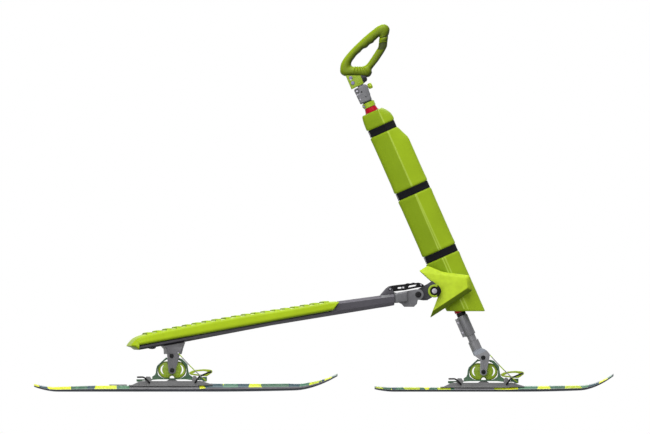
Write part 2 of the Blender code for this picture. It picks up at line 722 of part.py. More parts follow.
def arm_rail(name):
    """Alloy rail along the splayed arm, stepped where the deck ends."""
    outline = from_fold_along([(-539, 121), (-402, 145), (-156, 192), (178, 246.5), (201.6, 250.5),
                               (201.6, 283), (165, 279), (38.8, 262), (20.6, 234.5),
                               (-100, 213.5), (-543, 133.7)])
    return stack(name, [outline], [(1.5 * MM, -RAIL_HALF), (0, 1.5 * MM - RAIL_HALF),
                                   (0, RAIL_HALF - 1.5 * MM), (1.5 * MM, RAIL_HALF)])


def deck_pad(name):
    """Foam foot deck with rounded flanks and raised tread lugs."""
    top = [(-566, 133.5), (-548, 148), (-528, 161.5), (-440, 182), (-355, 200), (-229, 222.3)]
    top += [(-100, 241.4), (14, 261.4), (37.6, 260.8)]
    outline = from_fold_along([(-544, 134), (-560, 131)] + top + [(20, 235), (-100, 214)])
    body = stack(name, [outline], [(7 * MM, -DECK_HALF), (2.6 * MM, 1.6 * MM - DECK_HALF),
                                   (0, 6 * MM - DECK_HALF), (0, DECK_HALF - 6 * MM),
                                   (2.6 * MM, DECK_HALF - 1.6 * MM), (7 * MM, DECK_HALF)])
    lugs = []
    x = top[2][0] + 8.0
    while x < top[-2][0] - 6.0:
        k = max(i for i in range(len(top)) if top[i][0] <= x)
        (x0, z0), (x1, z1) = top[k], top[k + 1]
        slope = (z1 - z0) / (x1 - x0)
        z = z0 + slope * (x - x0)
        lug = from_fold_along([(x, z - 2), (x + 1.5, z + 2), (x + 8.5, z + 2 + 7 * slope),
                               (x + 10, z - 2 + 10 * slope)])
        lugs.append(plate("lug", [lug], -38 * MM, 38 * MM))
        x += 24.0
    return fuse(body, gather("lugs", *lugs))


def rear_fork(name, side):
    """Clevis under the rail: legs in line with the ski, crown in line with the arm."""
    outline = mm([(30, 68), (-18.9, 68), (-14.5, 47), (-12.8, 25)])
    outline += mm(arc(0, 0, 11, 165, 382, 10)) + mm([(17.4, 24), (21.2, 40), (25.5, 56)])
    legs = fork_legs("legs", outline)
    rail_slope = (145 - 121) / (539 - 402) * math.cos(SPLAY)
    rise = 76.33 - 0.4
    crown = mm([(-19, 47), (-20, 62), (-29, rise - 29 * rail_slope), (34, rise + 34 * rail_slope),
                (28, 64), (23.5, 47)])
    edge = 1.2 * MM
    block = stack("crown", [crown], [(edge, -FORK_OUTER), (0, edge - FORK_OUTER),
                                     (0, FORK_OUTER - edge), (edge, FORK_OUTER)])
    moved(block, Matrix.Rotation(-side * SPLAY, 4, "Z"))
    block.name = name
    return fuse(block, *legs)


def rear_arm(prefix, side, root):
    """One rear arm with its yoke, knuckle, latch, rail, deck, fork and ski unit."""
    hub = column_point(HUB_F, 0.0)
    lean = empty(prefix + "lean_axis", hub, parent=root)
    finish(yoke_arm("yoke", side, hub), prefix + "yoke_arm", "yoke_dark", lean, 30)
    pivot = Vector((FOLD_X, side * FOLD_Y, FOLD_Z))
    start = Vector((FOLD_X, side * (YOKE_IN - GAP), FOLD_Z)) - hub
    end = Vector((FOLD_X, side * (CHEEK_OUT + GAP), FOLD_Z)) - hub
    pin = bolt("pin", KNUCKLE_BOLT_R, KNUCKLE_HEAD_R, start, end, 5 * MM, 7 * MM, 24)
    finish(pin, prefix + "knuckle_bolt", "bolt_black", lean, 40)
    fold = empty(prefix + "fold_axis", pivot - hub, parent=lean)
    arm = empty(prefix + "arm_frame", (0, 0, 0), (0, 0, -side * SPLAY), fold)
    finish(arm_knuckle("knuckle", side), prefix + "arm_knuckle", "cast_grey", fold, 30)
    finish(arm_rail("rail"), prefix + "arm_rail", "rail_grey", arm)
    finish(deck_pad("deck"), prefix + "deck_pad", "deck_foam", arm)
    spot = from_fold_along([(190.9, 297.3)])[0]
    rivet = Vector((spot.x, 0.0, spot.y))
    hinge = empty(prefix + "latch_axis", rivet, parent=arm)
    finish(latch_lever("latch", side, rivet), prefix + "latch_lever", "latch_black", hinge, 30)
    ski_pivot = Vector((REAR_X, side * REAR_Y, PIVOT_RISE + REAR_SKI_THICK)) - pivot
    clevis = moved(rear_fork("fork", side), Matrix.Translation(ski_pivot))
    finish(clevis, prefix + "rear_fork", "cast_grey", fold, 30, ski_pivot)
    ski_unit(prefix, fold, ski_pivot, (0, 0, 0), REAR_SKI_THICK, REAR_TAIL, REAR_TIP,
             14 * MM)


def pad_outline(front):
    """Section of the column pad: narrow back, widest crease, narrow nose."""
    reach = (front - 20.5) / 46.0
    widest = PAD_HALF / MM
    half = [(-35.7, 24), (-30.5, 31), (-7, 41.4), (16.5, widest - 0.4), (20.5, widest)]
    half += [(20.5 + 20.3 * reach, 38.6), (20.5 + 39.5 * reach, 25.5), (front, 17)]
    return mm(half + [(f, -y) for f, y in reversed(half)])


def column_pad(name):
    """Padded column cover with three strap grooves, lofted up the column."""
    rows = []
    end = COLUMN_TOP / MM
    stations = [(-40, 66.5, 0, 1.0)]
    for low, front in STRAPS:
        if front < 60:
            stations.append((low - 40, 66.5, 0, 1.0))
        high = low + STRAP_WIDE / MM + 1
        stations += [(low - 1.5, front, 0, 1.0), (low - 0.5, front, 3, 1.0)]
        stations += [(high - 0.5, front, 3, 1.0), (high + 0.5, front, 0, 1.0)]
    stations += [(end - 36, 50, 0, 1.0), (end - 19, 46.6, 0.5, 1.0), (end - 7, 40, 2.5, 1.0)]
    stations += [(end - 2, 37, 3, 0.95), (end + 0.2, 35, 3, 0.85)]
    for u, front, shrink, crown in stations:
        loop = inset(pad_outline(front), shrink * MM)
        rows.append([Vector((p.x * crown, p.y * crown, u * MM)) for p in loop])
    for level, shrink in ((238.5, 0), (233, 2.5)):
        rows.insert(0, [])
        for p in inset(pad_outline(66.5), shrink * MM):
            drop = (level * MM - COLUMN_Z - p.x * math.sin(RAKE)) / math.cos(RAKE)
            rows[0].append(Vector((p.x, p.y, drop)))
    body = loft(name, rows)
    low, high = (0, 0, COLUMN_LOW - 62 * MM), (0, 0, COLUMN_TOP + 52 * MM)
    bore = rod("bore", COLUMN_TUBE_R + GAP, low, high, 24)
    saddle = rod("saddle", HUB_TUBE_R + 2 * GAP, (HUB_F, -60 * MM, 0), (HUB_F, 60 * MM, 0), 24)
    web = box("web", (-60 * MM, -10.6 * MM, -20.6 * MM), (-8 * MM, 10.6 * MM, 20.6 * MM))
    return cut(body, bore, saddle, web)


def pad_straps():
    """Webbing straps in the three grooves of the pad."""
    bands = []
    for low, front in STRAPS:
        loops = [inset(pad_outline(front), 0.8 * MM), inset(pad_outline(front), 2.7 * MM)]
        bands.append(plate("band", loops, low * MM, low * MM + STRAP_WIDE, "Z"))
    return bands


def yoke(name):
    """Cross tube of the lean hub, welded to a saddle on the column tube."""
    reach = YOKE_OUT
    body = rod(name, HUB_TUBE_R, (HUB_F, -reach, 0), (HUB_F, reach, 0), 28)
    web = box("web", (HUB_F, -10 * MM, -20 * MM), (-9 * MM, 10 * MM, 20 * MM))
    body = fuse(body, web)
    clear = rod("clear", COLUMN_TUBE_R + GAP, (0, 0, -30 * MM), (0, 0, 30 * MM), 24)
    bore = rod("bore", HUB_BOLT_R + GAP, (HUB_F, -reach - MM, 0), (HUB_F, reach + MM, 0), 16)
    return cut(body, clear, bore)


def hub_rings():
    """Coloured end rings of the lean hub, right and left."""
    rings = []
    for side in (-1, 1):
        start = Vector((HUB_F, side * (YOKE_OUT + GAP), 0))
        end = start + Vector((0, side * 4.3 * MM, 0))
        tall, dip = 4.3 * MM, 1.4 * MM
        profile = [(13 * MM, tall), (HUB_RING_R - MM, tall), (HUB_RING_R, tall - MM)]
        profile += [(HUB_RING_R, 0.0), (HUB_BOLT_R + GAP, 0.0), (HUB_BOLT_R + GAP, dip)]
        profile += [(13 * MM, dip)]
        rings.append(turned("ring", profile, 28, start, end - start, closed=True))
    return rings


def hub_bolt(name):
    """Through bolt that closes the lean hub at both ends."""
    seat = YOKE_OUT + GAP + 1.4 * MM + GAP
    start, end = (HUB_F, seat, 0), (HUB_F, -seat, 0)
    return bolt(name, HUB_BOLT_R, HUB_HEAD_R, start, end, 2.5 * MM, 2.5 * MM)


def star_covers():
    """Bevelled star-shaped side covers with a notch round the lean hub."""
    outline = mm([(-60.6, 71.2), (-27.5, -5), (-86.2, -65), (55.4, -43.4), (66.4, 0.8)])
    outline += mm([(0.7, 40.5), (-32.6, 74.6)])
    covers = []
    for side in (-1, 1):
        layers = [(0, side * COVER_IN), (0, side * (COVER_OUT - 9 * MM))]
        layers += [(3 * MM, side * (COVER_OUT - 2.5 * MM)), (6.5 * MM, side * COVER_OUT)]
        covers.append(stack("cover", [outline], layers))
    return covers


def top_bushing(name):
    """Red tapered bushing on top of the column tube."""
    inner = STEERER_R + GAP
    low, high = BUSHING_BASE, BUSHING_BASE + BUSHING_TALL
    outer = [(COLUMN_TUBE_R + MM, high), (COLUMN_TUBE_R + 5 * MM, low + 1.2 * MM)]
    outer += [(COLUMN_TUBE_R + 4.5 * MM, low)]
    return turned(name, [(inner, high)] + outer + [(inner, low)], 28, closed=True)


def clamp_head(name):
    """Head on the steerer that guides the stem and holds the height pin."""
    top = HEAD_TALL / MM
    outline = mm([(-22.1, 0), (12.5, 0), (14.5, 3), (17.4, 31), (17.6, top - 4.3), (11, top)])
    outline += mm([(-20, top - 2.3), (-23.4, top - 5.3)])
    outline = [p + Vector((0.0, HEAD_BASE)) for p in outline]
    body = stack(name, [outline], [(2 * MM, -18 * MM), (0, -16 * MM), (0, 16 * MM),
                                   (2 * MM, 18 * MM)])
    seat, past = STEERER_TOP + GAP, HEAD_BASE + HEAD_TALL + 10 * MM
    low = rod("low", STEERER_R + GAP, (0, 0, HEAD_BASE - 10 * MM), (0, 0, seat), 24)
    high = rod("high", STEM_R + GAP, (0, 0, seat - 5 * MM), (0, 0, past), 24)
    pin = rod("pin", PIN_R + GAP, (0, 0, PIN_U), (30 * MM, 0, PIN_U), 14)
    return cut(body, low, high, pin)


def height_pin(name):
    """Round knob with its pin, along the front of the head."""
    start = STEM_R + 0.6 * MM
    profile = [(0, 31.5), (6.5, 31.5), (8.2, 30), (8.5, 28), (8.5, 22), (7.4, 20), (6.6, 18.2)]
    profile = [(r * MM, h * MM) for r, h in profile]
    profile += [(PIN_R, 18.2 * MM), (PIN_R, start + MM), (PIN_R - MM, start), (0, start)]
    return turned(name, profile, 20, (0, 0, PIN_U), X_AXIS)


def fork_clamp(name):
    """Split clamp that joins the steerer and the front fork."""
    low, high = STEERER_LOW - 9 * MM, STEERER_LOW + 52 * MM
    body = ring(name, COLUMN_TUBE_R, STEERER_R + GAP, (0, 0, low), (0, 0, high), 24)
    back = -COLUMN_TUBE_R - 8 * MM
    flange = box("flange", (back, -7 * MM, low + 2 * MM), (-13 * MM, 7 * MM, high - 2 * MM), MM)
    slit = box("slit", (back - 5 * MM, -0.8 * MM, low - MM), (-8 * MM, 0.8 * MM, high + MM))
    return cut(fuse(body, flange), slit)


def front_fork(name):
    """Clevis, crown and stem of the front fork, in the column frame."""
    to_column = (Matrix.Translation(column_point(0, 0)) @ Matrix.Rotation(-RAKE, 4, "Y")).inverted()
    pivot = Vector((FRONT_X, 0, PIVOT_RISE + FRONT_SKI_THICK))
    outline = mm([(18.2, 49), (10, 61), (1, 64.5), (-8, 66), (-29, 57), (-24.6, 46), (-12, 37)])
    outline += mm([(-9.3, 31)]) + mm(arc(0, 0, 10.5, 168, 382, 10)) + mm([(13, 20), (16.4, 35)])
    crown = mm([(-25.5, 47), (-30.5, 58), (-6, 70), (3, 66.5), (10.5, 61.5), (18.4, 51.5), (18, 47)])
    edge = 1.2 * MM
    block = stack(name, [crown], [(edge, -FORK_OUTER), (0, edge - FORK_OUTER),
                                  (0, FORK_OUTER - edge), (edge, FORK_OUTER)])
    body = fuse(block, *fork_legs("legs", outline))
    moved(body, to_column @ Matrix.Translation(pivot))
    top, low = STEERER_LOW - 2 * GAP, STEERER_LOW - 69 * MM
    profile = [(0, top), (STEERER_R - MM, top), (STEERER_R, top - 1.4 * MM)]
    profile += [(STEERER_R, STEERER_LOW - 26 * MM), (COLUMN_TUBE_R, STEERER_LOW - 28 * MM)]
    profile += [(COLUMN_TUBE_R, low), (0, low)]
    return fuse(body, turned("stem", profile, 24))


def handle_bracket(name):
    """Bracket on the stem that carries the handle loop."""
    outline = mm([(-28.6, 0), (11.9, 1.6)]) + mm(arc(*BRACKET_BOLTS[2], 8, -100, 30, 6))
    outline += mm([(16, 21.1), (-29.3, 41)])
    outline = [p + Vector((0.0, BRACKET_BASE)) for p in outline]
    body = stack(name, [outline], [(1.5 * MM, -15 * MM), (0, -13.5 * MM), (0, 13.5 * MM),
                                   (1.5 * MM, 15 * MM)])
    bore = rod("bore", STEM_R + GAP, (0, 0, BRACKET_BASE - 12 * MM), (0, 0, STEM_TOP + GAP), 24)
    holes = []
    for f, rise in BRACKET_BOLTS:
        u = BRACKET_BASE + rise * MM
        start, end = (f * MM, -20 * MM, u), (f * MM, 20 * MM, u)
        holes.append(rod("hole", 3 * MM + GAP, start, end, 12))
    return cut(body, bore, *holes)


def bracket_bolt(name):
    """Cross bolt at the front of the bracket."""
    f, rise = BRACKET_BOLTS[2]
    u = BRACKET_BASE + rise * MM
    start, end = (f * MM, 15.3 * MM, u), (f * MM, -15.3 * MM, u)
    return bolt(name, 3 * MM, 6 * MM, start, end, 3 * MM, 3 * MM, 16)


def handle_grip(name):
    """Closed handle loop with finger waves inside, in the column frame."""
    outer = [(48, 932), (52, 954), (67, 977), (87, 999), (115, 1026), (144, 1050), (164, 1063.5)]
    outer += [(174, 1066), (183, 1063), (190.5, 1053), (190, 1043), (185.5, 1030), (182.5, 1001)]
    outer += [(166.5, 973), (148, 945), (140, 924), (131, 914.6), (61, 914.2), (51, 921)]
    inner = [(81, 943.5), (80, 954), (86, 964), (97, 974), (104, 984.5), (114, 992.5)]
    inner += [(124, 998), (131.5, 1004.5), (139, 1010), (148, 1018.5), (157.5, 1026.5)]
    inner += [(160.5, 1021), (158, 1001), (143.7, 978.7), (127.5, 952.4), (119.5, 943.5)]
    layers = [(6.5 * MM, -GRIP_HALF), (2.6 * MM, 1.7 * MM - GRIP_HALF), (0.6 * MM, -9.5 * MM)]
    layers += [(0, -6 * MM)]
    layers += [(amount, -height) for amount, height in reversed(layers)]
    body = stack(name, [mm(outer), mm(inner)], layers)
    to_column = Matrix.Translation(column_point(0, 0)) @ Matrix.Rotation(-RAKE, 4, "Y")
    return moved(body, Matrix.Translation((0, 0, GRIP_LIFT)) @ to_column.inverted())


def column(root):
    """Root frame of the column, then the steering, handle and pin bodies on it."""
    frame = empty("column_frame", column_point(0, 0), (0, -RAKE, 0), root)
    low, high = (0, 0, COLUMN_LOW), (0, 0, COLUMN_TOP)
    tube_part = ring("tube", COLUMN_TUBE_R, STEERER_R + GAP, low, high, 28)
    finish(tube_part, "column_tube", "tube_grey", frame, 40)
    finish(yoke("yoke"), "yoke", "yoke_dark", frame, 35)
    for part, label in zip(hub_rings(), ("right_hub_ring", "left_hub_ring")):
        finish(part, label, "ring_green", frame, 35)
    finish(hub_bolt("bolt"), "hub_bolt", "bolt_silver", frame, 40)
    finish(column_pad("pad"), "column_pad", "pad_green", frame, 20)
    for band, label in zip(pad_straps(), ("low_strap", "middle_strap", "top_strap")):
        finish(band, label, "strap_black", frame)
    for cover, place in zip(star_covers(), ("right", "left")):
        finish(cover, place + "_star_cover", "star_green", frame)
    finish(top_bushing("bushing"), "top_bushing", "bushing_red", frame, 35)
    steer = empty("steering_axis", (0, 0, 0), parent=frame)
    low, high = (0, 0, STEERER_LOW), (0, 0, STEERER_TOP)
    finish(ring("steerer", STEERER_R, STEM_R + GAP, low, high, 28), "steerer_tube", "tube_grey",
           steer, 40)
    low, high = (0, 0, COLLAR_BASE), (0, 0, COLLAR_BASE + COLLAR_TALL)
    collar = ring("collar", COLUMN_TUBE_R + 3 * MM, STEERER_R + GAP, low, high, 28)
    finish(collar, "steerer_collar", "ring_green", steer, 40)
    finish(clamp_head("head"), "clamp_head", "cast_grey", steer, 30)
    finish(fork_clamp("clamp"), "fork_clamp", "cast_grey", steer, 35)
    finish(front_fork("fork"), "front_fork", "cast_grey", steer, 30)
    handle = empty("handle_axis", (0, 0, 0), parent=steer)
    low, high = (0, 0, STEM_LOW), (0, 0, STEM_TOP)
    stem = ring("stem", STEM_R, STEM_R - STEM_WALL, low, high, 24)
    finish(stem, "stem_tube", "tube_grey", handle, 40)
    finish(handle_bracket("bracket"), "handle_bracket", "bracket_green", handle, 30)
    finish(bracket_bolt("bolt"), "bracket_bolt", "bolt_black", handle, 40)
    finish(handle_grip("grip"), "handle_grip", "grip_green", handle, 40)
    pin = empty("height_pin_axis", (0, 0, PIN_U), parent=steer)
    finish(moved(height_pin("pin"), Matrix.Translation((0, 0, -PIN_U))), "height_pin",
           "lever_green", pin, 35)
    front = Vector((FRONT_X, 0, PIVOT_RISE + FRONT_SKI_THICK)) - column_point(0, 0)
    front = Matrix.Rotation(RAKE, 3, "Y") @ front
    ski_unit("front_", steer, front, (0, RAKE, 0), FRONT_SKI_THICK, FRONT_TAIL, FRONT_TIP,
             7 * MM)


def main():
    """Build the whole trike."""
    clear_scene()
    root = empty("ski_trike_root", (0, 0, 0))
    column(root)
    rear_arm("right_", -1, root)
    rear_arm("left_", 1, root)
    bpy.context.view_layer.update()


main()
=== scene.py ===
"""Ski trike, dressed and lit: pad, decks, skis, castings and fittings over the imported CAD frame.

Lengths are in metres, +X forward, +Z up, and the rider's right side is -Y.
"""

from __future__ import annotations

import logging
import math
from dataclasses import dataclass, field, replace
from enum import Enum
from typing import Callable, Sequence

import bmesh
import bpy
from mathutils import Matrix, Vector
from mathutils.bvhtree import BVHTree
from mathutils.geometry import tessellate_polygon


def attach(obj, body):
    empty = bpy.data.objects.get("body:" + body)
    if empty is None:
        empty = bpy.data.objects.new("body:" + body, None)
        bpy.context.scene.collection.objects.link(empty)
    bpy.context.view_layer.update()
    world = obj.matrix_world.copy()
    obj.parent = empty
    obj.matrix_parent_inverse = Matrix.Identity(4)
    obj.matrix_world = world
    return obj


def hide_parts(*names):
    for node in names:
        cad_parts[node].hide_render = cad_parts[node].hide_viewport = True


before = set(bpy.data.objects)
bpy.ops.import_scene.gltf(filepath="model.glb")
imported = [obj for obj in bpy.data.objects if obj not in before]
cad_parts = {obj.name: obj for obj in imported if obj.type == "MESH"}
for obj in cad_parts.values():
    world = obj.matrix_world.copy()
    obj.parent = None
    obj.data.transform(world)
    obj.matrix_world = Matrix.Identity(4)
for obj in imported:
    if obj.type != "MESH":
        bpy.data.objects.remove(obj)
LOG = logging.getLogger("ski_trike")

MM = 0.001
RAKE = math.radians(23.8)
SPLAY = math.radians(10.5)
AXIS_FOOT = Vector((0.3615, 0.0, 0.3098))
FOLD = Vector((0.2742, 0.1046, 0.2816))
HUB_F = -0.0441

Color = tuple[float, float, float]


class Side(Enum):
    """The two sides of the vehicle, by the sign of Y."""

    RIGHT = -1
    LEFT = 1

    @property
    def prefix(self) -> str:
        """Start of the names of this side's nodes and bodies."""
        return self.name.lower() + "_"


def srgb(red: int, green: int, blue: int) -> Color:
    """Linear colour of an 8-bit display colour."""
    def linear(value: int) -> float:
        share = value / 255.0
        return share / 12.92 if share <= 0.04045 else ((share + 0.055) / 1.055) ** 2.4
    return linear(red), linear(green), linear(blue)


def on_column(f: float, y: float, u: float) -> Vector:
    """Place of a column point, in metres forward of, beside and up the steering axis."""
    x = AXIS_FOOT.x + f * math.cos(RAKE) - u * math.sin(RAKE)
    return Vector((x, y, AXIS_FOOT.z + f * math.sin(RAKE) + u * math.cos(RAKE)))


def column_matrix() -> Matrix:
    """Matrix from the column's own axes to the row frame."""
    return Matrix.Translation(AXIS_FOOT) @ Matrix.Rotation(-RAKE, 4, "Y")


def arm_matrix(side: Side) -> Matrix:
    """Matrix from an arm's own axes, at its fold pivot, to the row frame."""
    place = Vector((FOLD.x, side.value * FOLD.y, FOLD.z))
    return Matrix.Translation(place) @ Matrix.Rotation(-side.value * SPLAY, 4, "Z")


def along_arm(x: float, z: float) -> Vector:
    """Side-view point in millimetres of the row frame, as a point on the splayed arm."""
    return Vector(((x * MM - FOLD.x) / math.cos(SPLAY), 0.0, z * MM - FOLD.z))


class Graph:
    """Short calls that add and join the nodes of one tree."""

    def __init__(self, tree: bpy.types.NodeTree) -> None:
        """Keep the tree that nodes are added to."""
        self.tree = tree

    def add(self, kind: str, settings: dict | None = None, **sockets: object) -> bpy.types.Node:
        """Add a node, set its properties and fill its inputs.

        Args:
            kind: Node type without the ShaderNode prefix, or a full type name.
            settings: Properties to set on the node.
            sockets: Values or output sockets, by input name, or by in0, in1 and so on.

        Returns:
            The new node.
        """
        full = kind if kind.startswith(("Node", "Shader")) else "ShaderNode" + kind
        node = self.tree.nodes.new(full)
        for name, value in (settings or {}).items():
            setattr(node, name, value)
        for name, value in sockets.items():
            if name[:2] == "in" and name[2:].isdigit():
                target = node.inputs[int(name[2:])]
            else:
                target = node.inputs[name.replace("_", " ")]
            if isinstance(value, bpy.types.NodeSocket):
                self.tree.links.new(value, target)
            else:
                target.default_value = value
        return node

    def give(self, node: bpy.types.Node, **values: bpy.types.NodeSocket) -> None:
        """Link sockets to a node's inputs, by name."""
        for name, value in values.items():
            self.tree.links.new(value, node.inputs[name.replace("_", " ")])

    def math(self, operation: str, *values: object, clamp: bool = False) -> bpy.types.NodeSocket:
        """Output of a Math node on the given values."""
        sockets = {f"in{k}": value for k, value in enumerate(values)}
        settings = {"operation": operation, "use_clamp": clamp}
        return self.add("Math", settings, **sockets).outputs[0]

    def mix(self, share: object, first: object, second: object, blend: str = "MIX") -> object:
        """Colour output of a Mix node between two colours."""
        settings = {"data_type": "RGBA", "blend_type": blend, "clamp_factor": True}
        node = self.add("Mix", settings, in0=share, in6=first, in7=second)
        return node.outputs[2]

    def spread(self, value: object, low: float, high: float, to_low: float = 0.0,
               to_high: float = 1.0) -> bpy.types.NodeSocket:
        """Output of a clamped Map Range node."""
        node = self.add("MapRange", {"clamp": True}, in0=value, in1=low, in2=high, in3=to_low,
                        in4=to_high)
        return node.outputs[0]


class Effects:
    """Node groups for the effects that several finishes share, each made once."""

    _made: dict[str, bpy.types.NodeTree] = {}

    @classmethod
    def get(cls, name: str) -> bpy.types.NodeTree:
        """Node group of an effect, built on its first use."""
        if name not in cls._made:
            cls._made[name] = getattr(cls, "_" + name)()
        return cls._made[name]

    @classmethod
    def use(cls, g: Graph, name: str, **sockets: object) -> bpy.types.Node:
        """Add an effect's group to a tree and fill its inputs."""
        return g.add("Group", {"node_tree": cls.get(name)}, **sockets)

    @staticmethod
    def _start(name: str, inputs: dict[str, tuple[str, object]],
               outputs: dict[str, str]) -> tuple[Graph, bpy.types.Node, bpy.types.Node]:
        """Empty group with its sockets.

        Args:
            name: Name of the group.
            inputs: Socket kind and default value by name.
            outputs: Socket kind by name.

        Returns:
            The graph, the node of the inputs and the node of the outputs.
        """
        tree = bpy.data.node_groups.new(name, "ShaderNodeTree")
        for label, (kind, value) in inputs.items():
            socket = tree.interface.new_socket(label, in_out="INPUT", socket_type="NodeSocket" + kind)
            socket.default_value = value
        for label, kind in outputs.items():
            tree.interface.new_socket(label, in_out="OUTPUT", socket_type="NodeSocket" + kind)
        graph = Graph(tree)
        return graph, graph.add("NodeGroupInput"), graph.add("NodeGroupOutput")

    @classmethod
    def _worn_edge(cls) -> bpy.types.NodeTree:
        """Mask of rubbed convex edges, broken up by noise."""
        g, given, out = cls._start("worn_edge", {
            "Width": ("Float", 0.0015), "Scale": ("Float", 120.0), "Amount": ("Float", 1.0),
        }, {"Mask": "Float"})
        place = g.add("TexCoord").outputs["Object"]
        rounded = g.add("Bevel", {"samples": 4}, Radius=given.outputs["Width"]).outputs[0]
        normal = g.add("NewGeometry").outputs["Normal"]
        facing = g.add("VectorMath", {"operation": "DOT_PRODUCT"}, in0=rounded, in1=normal)
        turn = g.spread(facing.outputs["Value"], 0.995, 0.86)
        noise = g.add("TexNoise", Vector=place, Scale=given.outputs["Scale"], Detail=3.0)
        broken = g.spread(noise.outputs[0], 0.38, 0.62)
        mask = g.math("MULTIPLY", g.math("MULTIPLY", turn, broken), given.outputs["Amount"], clamp=True)
        g.give(out, Mask=mask)
        return g.tree

    @classmethod
    def _grain(cls) -> bpy.types.NodeTree:
        """Fine pitted grain, as on mouldings and castings."""
        g, given, out = cls._start("grain", {
            "Scale": ("Float", 900.0), "Coarse": ("Float", 0.35),
        }, {"Value": "Float", "Height": "Float"})
        place = g.add("TexCoord").outputs["Object"]
        fine = g.add("TexNoise", Vector=place, Scale=given.outputs["Scale"], Detail=2.0)
        wide_scale = g.math("MULTIPLY", given.outputs["Scale"], 0.22)
        wide = g.add("TexVoronoi", {"feature": "SMOOTH_F1"}, Vector=place, Scale=wide_scale)
        soft = g.math("MULTIPLY", wide.outputs["Distance"], given.outputs["Coarse"])
        both = g.math("ADD", g.math("MULTIPLY", fine.outputs[0], 0.65), soft)
        g.give(out, Value=fine.outputs[0], Height=both)
        return g.tree

    @classmethod
    def _tone(cls) -> bpy.types.NodeTree:
        """Slow variation of a colour over the surface, with a few darker specks."""
        g, given, out = cls._start("tone", {
            "Color": ("Color", (0.5, 0.5, 0.5, 1.0)), "Scale": ("Float", 9.0),
            "Amount": ("Float", 0.15),
        }, {"Color": "Color"})
        place = g.add("TexCoord").outputs["Object"]
        slow = g.add("TexNoise", Vector=place, Scale=given.outputs["Scale"], Detail=4.0)
        speck_scale = g.math("MULTIPLY", given.outputs["Scale"], 37.0)
        specks = g.add("TexNoise", Vector=place, Scale=speck_scale, Detail=1.0)
        blend = g.math("ADD", g.math("MULTIPLY", slow.outputs[0], 0.75),
                       g.math("MULTIPLY", specks.outputs[0], 0.25))
        low = g.math("SUBTRACT", 1.0, given.outputs["Amount"])
        high = g.math("ADD", 1.0, given.outputs["Amount"])
        gain = g.add("MapRange", {"clamp": True}, in0=blend, in1=0.32, in2=0.68, in3=low, in4=high)
        scaled = g.add("VectorMath", {"operation": "SCALE"}, in0=given.outputs["Color"],
                       Scale=gain.outputs[0])
        g.give(out, Color=scaled.outputs[0])
        return g.tree

    @classmethod
    def _drawn(cls) -> bpy.types.NodeTree:
        """Long thin lines of drawn, extruded or brushed metal, along one direction."""
        g, given, out = cls._start("drawn", {
            "Stretch": ("Vector", (4.0, 600.0, 600.0)), "Turn": ("Vector", (0.0, 0.0, 0.0)),
        }, {"Value": "Float", "Height": "Float"})
        place = g.add("TexCoord").outputs["Object"]
        turned = g.add("Mapping", in0=place, in2=given.outputs["Turn"])
        stretched = g.add("VectorMath", {"operation": "MULTIPLY"}, in0=turned.outputs[0],
                          in1=given.outputs["Stretch"])
        lines = g.add("TexNoise", Vector=stretched.outputs[0], Scale=1.0, Detail=3.0)
        rare = g.spread(lines.outputs[0], 0.62, 0.7)
        height = g.math("SUBTRACT", lines.outputs[0], g.math("MULTIPLY", rare, 0.6))
        g.give(out, Value=lines.outputs[0], Height=height)
        return g.tree

    @classmethod
    def _scuffs(cls) -> bpy.types.NodeTree:
        """Sparse curved hairline scratches."""
        g, given, out = cls._start("scuffs", {
            "Scale": ("Float", 14.0), "Amount": ("Float", 0.5),
        }, {"Mask": "Float"})
        place = g.add("TexCoord").outputs["Object"]
        mask: object = 0.0
        for k, turn in enumerate((0.5, 1.9, 2.7)):
            moved = g.add("Mapping", in0=place, in1=(0.31 * k, 0.17, 0.05 * k), in2=(turn, 0.4, turn))
            bent = g.add("TexNoise", Vector=moved.outputs[0], Scale=3.0, Detail=1.0)
            warp = g.add("VectorMath", {"operation": "MULTIPLY_ADD"}, in0=bent.outputs["Color"],
                         in1=(0.05, 0.05, 0.05), in2=moved.outputs[0])
            wave = g.add("TexWave", {"bands_direction": "X", "wave_profile": "SAW"},
                         Vector=warp.outputs[0], Scale=given.outputs["Scale"])
            line = g.spread(wave.outputs["Fac"], 0.985, 1.0)
            gate = g.add("TexNoise", Vector=moved.outputs[0], Scale=26.0, Detail=1.0)
            mask = g.math("MAXIMUM", mask, g.math("MULTIPLY", line, g.spread(gate.outputs[0], 0.6, 0.7)))
        g.give(out, Mask=g.math("MULTIPLY", mask, given.outputs["Amount"]))
        return g.tree

    @classmethod
    def _webbing(cls) -> bpy.types.NodeTree:
        """Ribbed weave of a strap, from lengths stored on the mesh as along and across."""
        g, given, out = cls._start("webbing", {"Pitch": ("Float", 0.0016)},
                                   {"Value": "Float", "Height": "Float"})
        run = g.add("Attribute", {"attribute_name": "along"}).outputs["Fac"]
        over = g.add("Attribute", {"attribute_name": "across"}).outputs["Fac"]
        first = g.math("DIVIDE", run, given.outputs["Pitch"])
        second = g.math("DIVIDE", over, given.outputs["Pitch"])
        shifted = g.math("ADD", first, g.math("MULTIPLY", g.math("FLOOR", second), 0.5))
        rib = g.math("ABSOLUTE", g.math("SINE", g.math("MULTIPLY", shifted, math.pi)))
        cord = g.math("ABSOLUTE", g.math("SINE", g.math("MULTIPLY", second, math.pi)))
        height = g.math("MULTIPLY", g.math("POWER", rib, 0.6), g.math("POWER", cord, 0.6))
        g.give(out, Height=height, Value=g.spread(height, 0.1, 0.9, 0.55, 1.0))
        return g.tree

